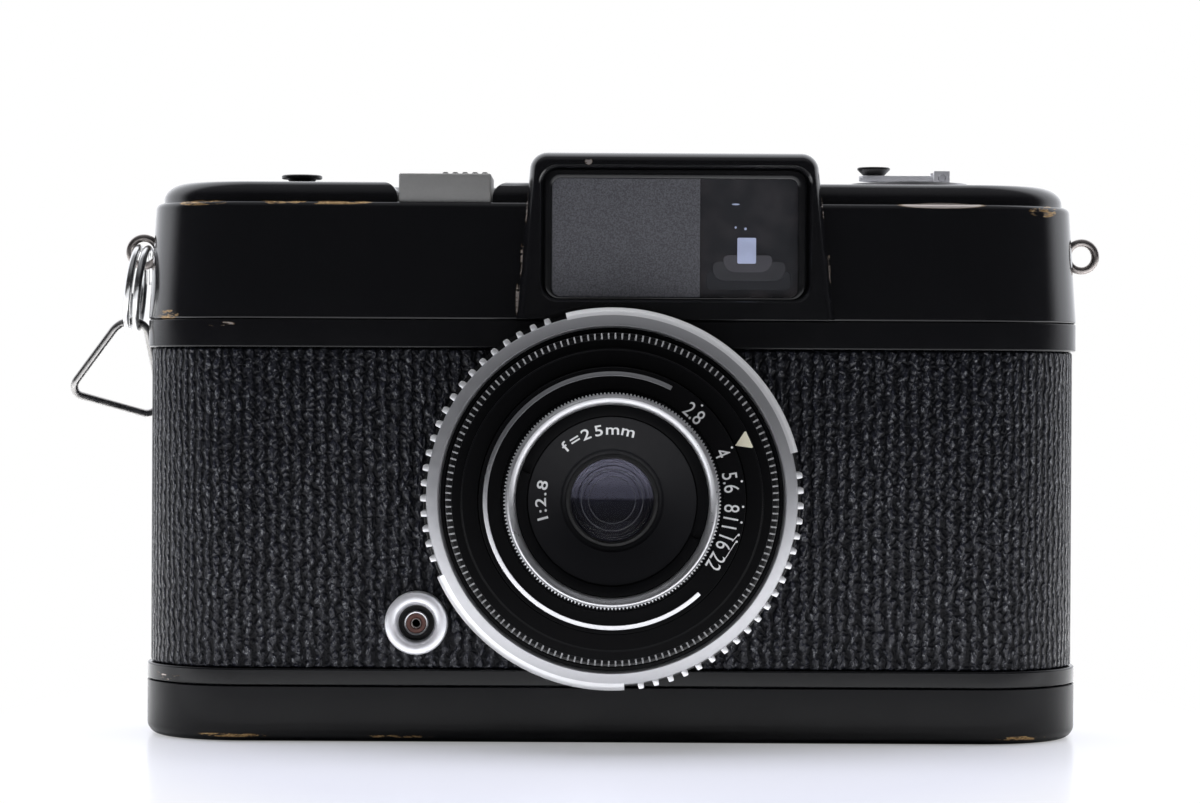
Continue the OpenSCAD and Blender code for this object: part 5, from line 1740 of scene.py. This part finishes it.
@dataclass
class FinderWindow(SubAssembly):
    """Window of the finder in its recess, what is seen in it as glowing plates of painted light and shade,
    and the eyepiece behind.
    """

    left: float = -6.9
    split: float = 9.75
    split_gap: float = 0.05
    right: float = 20.75
    low: float = 50.2
    high: float = 63.55
    corner: float = 1.0
    sharp: float = 0.05
    bezel: tuple[Point, ...] = (
        (1.0, -14.82, 1.8), (1.0, -15.1, 1.8), (0.85, -15.3, 1.7), (0.5, -15.4, 1.4), (0.12, -15.4, 1.1),
        (0.0, -15.3, 1.0), (0.0, -14.5, 1.0), (0.9, -14.5, 1.7))
    bezel_foot: float = 0.4
    frosted_y: Pair = (-15.22, -14.5)
    glass_y: Pair = (-15.15, -14.65)
    room_y: Pair = (-14.25, -14.15)
    masks: tuple[Mask, ...] = (
        Mask((10.5, 51.1), (19.95, 53.2), 0.5, -14.32, Coat.FINDER_STEP_1),
        Mask((11.2, 52.15), (19.35, 54.3), (1.3, 1.3, 0.6, 0.6), -14.39, Coat.FINDER_STEP_2),
        Mask((12.4, 53.1), (17.85, 55.0), (1.3, 1.3, 0.5, 0.5), -14.46, Coat.FINDER_STEP_3))
    # The lit eyepiece is a plate glowing in painted light.
    light: Mask = Mask((13.95, 54.05), (16.05, 56.95), 0.15, -14.52, Coat.FINDER_LIGHT)
    light_back: float = -14.45
    # Painted glints: small glowing discs behind the window stand in for reflected lamps.
    glints: tuple[Point, ...] = ((13.75, 60.7, 0.28), (13.75, 58.1, 0.12), (14.85, 57.95, 0.14))
    glint_y: Pair = (-14.48, -14.56)
    glint_stretch: Pair = (1.6, 0.32)

    def build(self) -> None:
        """Builds the window from the front to the back."""
        self._bezel()
        self._panes()
        self._inside()
        self.keep(self.soften("eyepiece_frame", 0.3), Coat.BLACK_TRIM, "body", "black_trim", "eyepiece_frame")
        eye = self.soften("finder_eyepiece", 0.15)
        self.keep(eye, Coat.DARK_GLASS, "body", "clear_glass", "finder_eyepiece")

    def _pane(self, name: str, low: Pair, high: Pair, radius: float | Sequence[float], depth: Pair,
              edge: float) -> Piece:
        """Makes an upright plate with a rounded front edge.

        Args:
            name: object name.
            low, high: two corners (x, z).
            radius: of its corners.
            depth: y of its front and its back.
            edge: radius of the front edge.
        Returns:
            The plate.
        """
        front, back = depth
        rings = [upright(rounded(low, high, radius, 0, 6), back)]
        for inset, up in quarter(edge, 3):
            corners = (low[0] + inset, low[1] + inset), (high[0] - inset, high[1] - inset)
            rings.append(upright(rounded(*corners, radius, 0, 6), front + edge - up))
        return even(loft(name, rings), 40.0)

    def _bezel(self) -> None:
        """Black frame round both panes."""
        rings = []
        for grow, y, radius in self.bezel:
            low = (self.left - grow, self.low - grow * self.bezel_foot)
            rings.append(upright(rounded(low, (self.right + grow, self.high + grow), radius, 0, 8), y))
        frame = loft("finder_bezel_look", rings + [rings[0]], close=False)
        self.keep(smooth(frame, 40.0), Coat.BLACK_TRIM, "body", "black_trim", "finder_bezel")

    def _panes(self) -> None:
        """The frosted panel and the clear window beside it."""
        frosted = self._pane("frosted_window_look", (self.left, self.low), (self.split, self.high),
                             (self.corner, self.sharp, self.sharp, self.corner), self.frosted_y, 0.1)
        self.keep(frosted, Coat.FROSTED_PANEL, "body", "frosted_panel", "frosted_window")
        edge = self.split + self.split_gap
        glass = self._pane("finder_objective_look", (edge, self.low), (self.right, self.high),
                           (self.sharp, self.corner, self.corner, self.sharp), self.glass_y, 0.1)
        self.keep(glass, Coat.WINDOW_GLASS, "body", "clear_glass", "finder_objective")

    def _inside(self) -> None:
        """Dark room behind the window, with the stepped masks, the lit eyepiece and glints, all painted as
        glowing plates and discs.
        """
        (front, back), left = self.room_y, self.split + self.split_gap
        # A dark plate glowing dimly paints the shade of the finder's room.
        wall = box("finder_back", (left, front, self.low), (self.right, back, self.high))
        self.keep(wall, Coat.FINDER_DARK, "body", "black_trim")
        for number, mask in enumerate(self.masks, 1):
            depth = (mask.front, mask.front + 0.08)
            plate = self._pane(f"finder_mask_{number}", mask.low, mask.high, mask.radius, depth, 0.04)
            self.keep(plate, mask.coat, "body", "black_trim")
        light = self.light
        depth = (light.front, self.light_back)
        pane = self._pane("finder_light_pane", light.low, light.high, light.radius, depth, 0.03)
        self.keep(pane, light.coat, "body", "black_trim")
        start, end = self.glint_y
        glints = [rod("glint", (x, start, z), (x, end, z), radius, 20) for x, z, radius in self.glints]
        x, z, _ = self.glints[0]
        wide, high = self.glint_stretch
        for centre, stretch in (((0, 0, z), (1, 1, high, 1)), ((x, 0, 0), (wide, 1, 1, 1))):
            at = Matrix.Translation(Vector(centre) * MM)
            glints[0].data.transform(at @ Matrix.Diagonal(stretch) @ at.inverted())
        self.keep(merge("finder_glints", glints), Coat.FINDER_LIGHT, "body", "black_trim")


@dataclass
class FlashSocket(SubAssembly):
    """Flash contact in the front."""

    lip: Profile = ((1.98, 13.4), (3.3, 13.4), (3.52, 14.0), (3.52, 16.2), (3.46, 16.42), (3.3, 16.55),
                    (2.55, 16.58), (2.4, 16.5), (2.2, 16.2), (2.05, 15.7), (1.98, 15.0))
    floor: Profile = ((0.0, 14.2), (2.0, 14.2), (2.0, 15.2), (1.9, 15.2), (1.85, 14.5), (0.0, 14.5))
    sleeve: Profile = ((0.62, 14.4), (1.15, 14.4), (1.15, 15.75), (1.05, 15.9), (0.72, 15.9), (0.62, 15.8))
    shell: Profile = ((1.15, 14.4), (1.36, 14.4), (1.36, 15.8), (1.27, 15.95), (1.15, 15.92))
    pin: Profile = (
        (0.0, 14.2), (0.6, 14.2), (0.6, 15.85), (0.54, 15.92), (0.46, 15.85), (0.46, 14.5), (0.0, 14.5))

    def build(self) -> None:
        """Builds it from outside in."""
        lip = lathe("sync_socket_look", self.lip, SOCKET, Axis.FRONT, 96, 40.0)
        self.keep(lip, Coat.SOCKET_CHROME, "body", "socket_chrome", "sync_socket")
        floor = lathe("sync_floor", self.floor, SOCKET, Axis.FRONT, 64)
        self.keep(floor, Coat.MATT_BLACK, "body", "socket_chrome")
        sleeve = lathe("sync_insulator_look", self.sleeve, SOCKET, Axis.FRONT, 64)
        self.keep(sleeve, Coat.BROWN_INSULATOR, "body", "brown_insulator", "sync_insulator")
        shell = lathe("sync_shell", self.shell, SOCKET, Axis.FRONT, 64)
        self.keep(shell, Coat.ARC_SILVER, "body", "socket_chrome")
        pin = lathe("sync_pin_look", self.pin, SOCKET, Axis.FRONT, 48)
        self.keep(pin, Coat.LUG_STEEL, "body", "steel_bright", "sync_pin")


@dataclass
class StrapFittings(SubAssembly):
    """Lugs at both ends, with a split ring and a triangular ring at the left one."""

    eye: Pair = (54.5, 55.5)
    eye_section: Profile = ((1.2, -0.3), (1.33, -0.52), (1.62, -0.6), (1.92, -0.5), (2.05, -0.3), (2.05, 0.3),
                            (1.92, 0.5), (1.62, 0.6), (1.33, 0.52), (1.2, 0.3))
    shank_x: Pair = (50.9, 52.9)
    shank_half: float = 0.55
    shank_z: Pair = (53.9, 57.1)
    ring_top: Point = (-54.5, 0.0, 55.95)
    ring_r: float = 4.7
    ring_wire: float = 0.43
    ring_lean: float = 5.0
    ring_shift: float = 1.25
    ring_overlap: float = 8.0
    triangle: tuple[Point, Point, Point] = ((-55.75, 0, 47.5), (-63.4, 0.6, 39.2), (-53, 8.4, 36.0))
    triangle_bends: tuple[float, float, float] = (2.4, 1.5, 1.5)
    triangle_wire: float = 0.45

    def build(self) -> None:
        """Builds the lugs and the rings."""
        self._lug(-1, "left_lug")
        self._lug(1, "right_lug")
        self._split_ring()
        self._triangle()

    def _lug(self, side: int, name: str) -> None:
        """Makes one eye on its shank.

        Args:
            side: -1 at the left, 1 at the right.
            name: the lug's CAD node.
        """
        x, z = self.eye
        ring = lathe(f"{name}_look", self.eye_section, (side * x, 0.0, z), Axis.FRONT, 64, 50.0)
        low, high = sorted(side * end for end in self.shank_x)
        foot, top = self.shank_z
        shank = bevel(box("shank", (low, -self.shank_half, foot), (high, self.shank_half, top)), 0.25)
        lug = smooth(merge(f"{name}_look", [ring, shank]), 45.0)
        self.keep(lug, Coat.LUG_STEEL, "body", "lug_steel", name)

    def _split_ring(self) -> None:
        """Two turns of round wire, leaning out."""
        points = []
        lean = Matrix.Rotation(math.radians(self.ring_lean), 3, "Y")
        for step in range(193):
            turns = step / 96
            angle = math.radians(90 + 360 * turns + self.ring_overlap * (1 - turns))
            here = Vector((turns - self.ring_shift, self.ring_r * math.sin(angle),
                           -self.ring_r * (1 - math.cos(angle))))
            points.append(tuple(lean @ here + Vector(self.ring_top)))
        ring = wire("split_ring_look", points, self.ring_wire)
        self.keep(ring, Coat.RING_BRIGHT, "split_ring", "lug_steel", "split_ring")

    def _triangle(self) -> None:
        """Closed triangle of round wire with bent corners, the first bend touching its given point."""
        top, left, rear = (Vector(point) for point in self.triangle)
        crossing = top.copy()
        for _ in range(12):
            a, b = (left - crossing).normalized(), (rear - crossing).normalized()
            half = math.acos(a.dot(b)) / 2
            crossing = top - (a + b).normalized() * self.triangle_bends[0] * (1 / math.sin(half) - 1)
        corners = [crossing, left, rear]
        points: list[tuple[float, ...]] = []
        for index, (corner, bend) in enumerate(zip(corners, self.triangle_bends)):
            a = (corners[index - 1] - corner).normalized()
            b = (corners[(index + 1) % 3] - corner).normalized()
            half = math.acos(a.dot(b)) / 2
            middle = corner + (a + b).normalized() * bend / math.sin(half)
            start, end = (corner + way * bend / math.tan(half) - middle for way in (a, b))
            for step in range(13):
                points.append(tuple(middle + start.lerp(end, step / 12).normalized() * bend))
        ring = wire("triangle_ring_look", points, self.triangle_wire, True)
        self.keep(ring, Coat.RING_CHROME, "triangle_ring", "lug_steel", "triangle_ring")


@dataclass
class Controls(SubAssembly):
    """Release, frame counter, advance wheel and rewind on the top."""

    release_low: Point = (-24.2, -12.9, 59.2)
    release_high: Point = (-13.8, -1.9, 64.12)
    cable: Bore = Bore((-21.6, -7.4), 61.6, ABOVE_Z, 1.25, 48)
    cable_cone: Profile = ((0.0, 63.3), (1.3, 63.3), (1.75, 64.15), (0.0, 64.15))
    ridges: int = 5
    ridge_start: float = -18.95
    ridge_pitch: float = 1.11
    ridge_inset: float = 0.25
    ridge: Profile = ((-0.4, 64.0), (0.4, 64.0), (0.34, 64.16), (0.18, 64.28), (-0.18, 64.28), (-0.34, 64.16))
    dial: Profile = (
        (0.0, 62.3), (8.6, 62.3), (8.6, 62.95), (8.45, 63.1), (8.2, 63.1), (8.1, 62.98), (0.0, 62.98))
    dial_knob: Profile = ((0.0, 62.9), (1.5, 62.9), (1.5, 63.9), (1.7, 64.1), (2.25, 64.14), (2.35, 64.22),
                          (2.35, 64.5), (2.2, 64.6), (0.0, 64.62))
    frames: int = 72
    frame_angle: float = 5.0
    tick_r: tuple[float, float, float] = (7.1, 6.8, 7.9)
    tick_half: float = 0.07
    tick_z: Pair = (62.97, 63.0)
    figure_r: float = 5.7
    figure_z: float = 62.98
    figure_size: float = 1.9
    crank_knob: Profile = ((0.0, 64.85), (1.25, 64.85), (1.4, 65.0), (1.75, 65.35), (1.9, 65.5), (1.9, 65.66),
                           (1.8, 65.75), (0.0, 65.75))
    crank_knob_at: Point = (30.3, 0.0, 0.0)
    wheel_teeth: int = 44
    wheel_r: Pair = (10.0, 9.55)
    wheel_layers: Profile = ((0.965, 51.2), (1.0, 51.5), (1.0, 54.9), (0.965, 55.2))
    axle: Bore = Bore((-36.3, 6.2), 50.0, 57.0, 1.6, 32)

    def build(self) -> None:
        """Builds the release, the counter, the rewind and the wheel."""
        self._release()
        self._counter()
        self._rewind()
        self.keep(self._wheel(), Coat.WHEEL_BLACK, "advance_wheel", "wheel_black", "advance_wheel")

    def _release(self) -> None:
        """Grey plate with five ridges on its right half and the cable socket on its left."""
        plate = bevel(box("release_look", self.release_low, self.release_high), 0.22)
        cone = lathe("cone", self.cable_cone, (*self.cable.centre, 0.0), Axis.UP, 48)
        cut(plate, self.cable.tool(), cone)
        parts = [plate]
        ends = (self.release_low[1] + self.ridge_inset, self.release_high[1] - self.ridge_inset)
        for index in range(self.ridges):
            middle = self.ridge_start + index * self.ridge_pitch
            parts.append(loft("ridge", [[(middle + x, y, z) for x, z in self.ridge] for y in ends]))
        release = smooth(merge("release_look", parts), 40.0)
        self.keep(release, Coat.RELEASE_GREY, "release", "release_grey", "release_plate")

    def _counter(self) -> None:
        """Black dial with white marks and numbers, and a raised knob in its middle."""
        at = (*COUNTER, 0.0)
        dial = lathe("counter_dial_look", self.dial, at, Axis.UP, 128)
        self.keep(dial, Coat.DIAL_BLACK, "counter", "dial_white", "counter_dial")
        self.keep(merge("counter_marks", self._dial_marks()), Coat.DIAL_WHITE, "counter", "dial_white")
        knob = lathe("counter_knob_look", self.dial_knob, at, Axis.UP, 96)
        self.keep(knob, Coat.BLACK_PLASTIC, "counter", "black_plastic", "counter_knob")

    def _dial_marks(self) -> list[Piece]:
        """Makes a tick for each frame, and a longer one and a number for each tenth.

        Returns:
            All marks.
        """
        marks = []
        short, long, outer = self.tick_r
        low, high = self.tick_z
        centre = Matrix.Translation(Vector((*COUNTER, 0.0)) * MM)
        middle = Matrix.Translation((*COUNTER, self.figure_z))
        for number in range(self.frames + 1):
            angle = math.radians(90 - number * self.frame_angle)
            tenth = number % 10 == 0
            inner = long if tenth else short
            tick = box("tick", (inner, -self.tick_half, low), (outer, self.tick_half, high))
            tick.data.transform(centre @ Matrix.Rotation(angle, 4, "Z"))
            marks.append(tick)
            if tenth:
                turn = Matrix.Rotation(angle - math.pi / 2, 4, "Z")
                place = middle @ turn @ Matrix.Translation((0, self.figure_r, 0))
                marks.append(lettering("number", str(number), self.figure_size, place))
        return marks

    def _rewind(self) -> None:
        """Rewind disc, folded crank and the crank's own knob."""
        disc = self.soften("rewind_knob", 0.14)
        self.keep(disc, Coat.CRANK_SILVER, "rewind", "satin_silver", "rewind_knob")
        crank = self.soften("rewind_crank", 0.12)
        self.keep(crank, Coat.CRANK_SILVER, "rewind_crank", "satin_silver", "rewind_crank")
        knob = lathe("crank_knob_look", self.crank_knob, self.crank_knob_at, Axis.UP, 64)
        self.keep(knob, Coat.BLACK_PLASTIC, "crank_knob", "black_plastic", "crank_knob")

    def _wheel(self) -> Piece:
        """Makes the thumb wheel with its coarse milled rim.

        Returns:
            The wheel.
        """
        points = []
        crest, root = self.wheel_r
        count = self.wheel_teeth * 4
        for step in range(count):
            radius = crest if step % 4 in (0, 1) else root
            angle = FULL_TURN * (step + 0.5) / count
            points.append((radius * math.cos(angle), radius * math.sin(angle)))
        x, y = self.axle.centre
        wheel = loft("advance_wheel_look", [[(x + px * scale, y + py * scale, z) for px, py in points]
                                            for scale, z in self.wheel_layers])
        cut(wheel, self.axle.tool())
        return smooth(wheel, 25.0)


@dataclass
class BaseFittings(SubAssembly):
    """Lock and tripod bush underneath."""

    rounds: tuple[tuple[str, float, str], ...] = (
        ("lock_key", 0.2, "lock_key"), ("lock_handle", 0.12, "lock_handle"), ("tripod_bush", 0.15, "body"))

    def build(self) -> None:
        """Rounds and finishes them."""
        for node, width, body in self.rounds:
            self.keep(self.soften(node, width), Coat.POLISHED, body, "satin_silver", node)


@dataclass
class CadNodes(SubAssembly):
    """The CAD's own nodes, which stay wherever no piece above stands for them."""

    def build(self) -> None:
        """Gives each node the finish of its slot."""
        slots = {part["node"]: part["material_slot"] for part in self.frame["record"]["subparts"]}
        for name, obj in self.frame["nodes"].items():
            obj.data.materials.clear()
            obj.data.materials.append(self.shelf[Coat[slots[name].upper()]])


GROUPS: tuple[type[SubAssembly], ...] = (
    TopCover, BodyShell, SpeedRing, ApertureRing, ApertureScale, LensHead, FinderWindow, FlashSocket,
    StrapFittings, Controls, BaseFittings, CadNodes)


def main() -> None:
    """Builds the whole scene."""
    logging.basicConfig(level=logging.INFO)
    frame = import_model()
    shelf = Shelf()
    Studio().build()
    for group in GROUPS:
        group(frame, shelf).build()


if __name__ == "__main__":
    main()
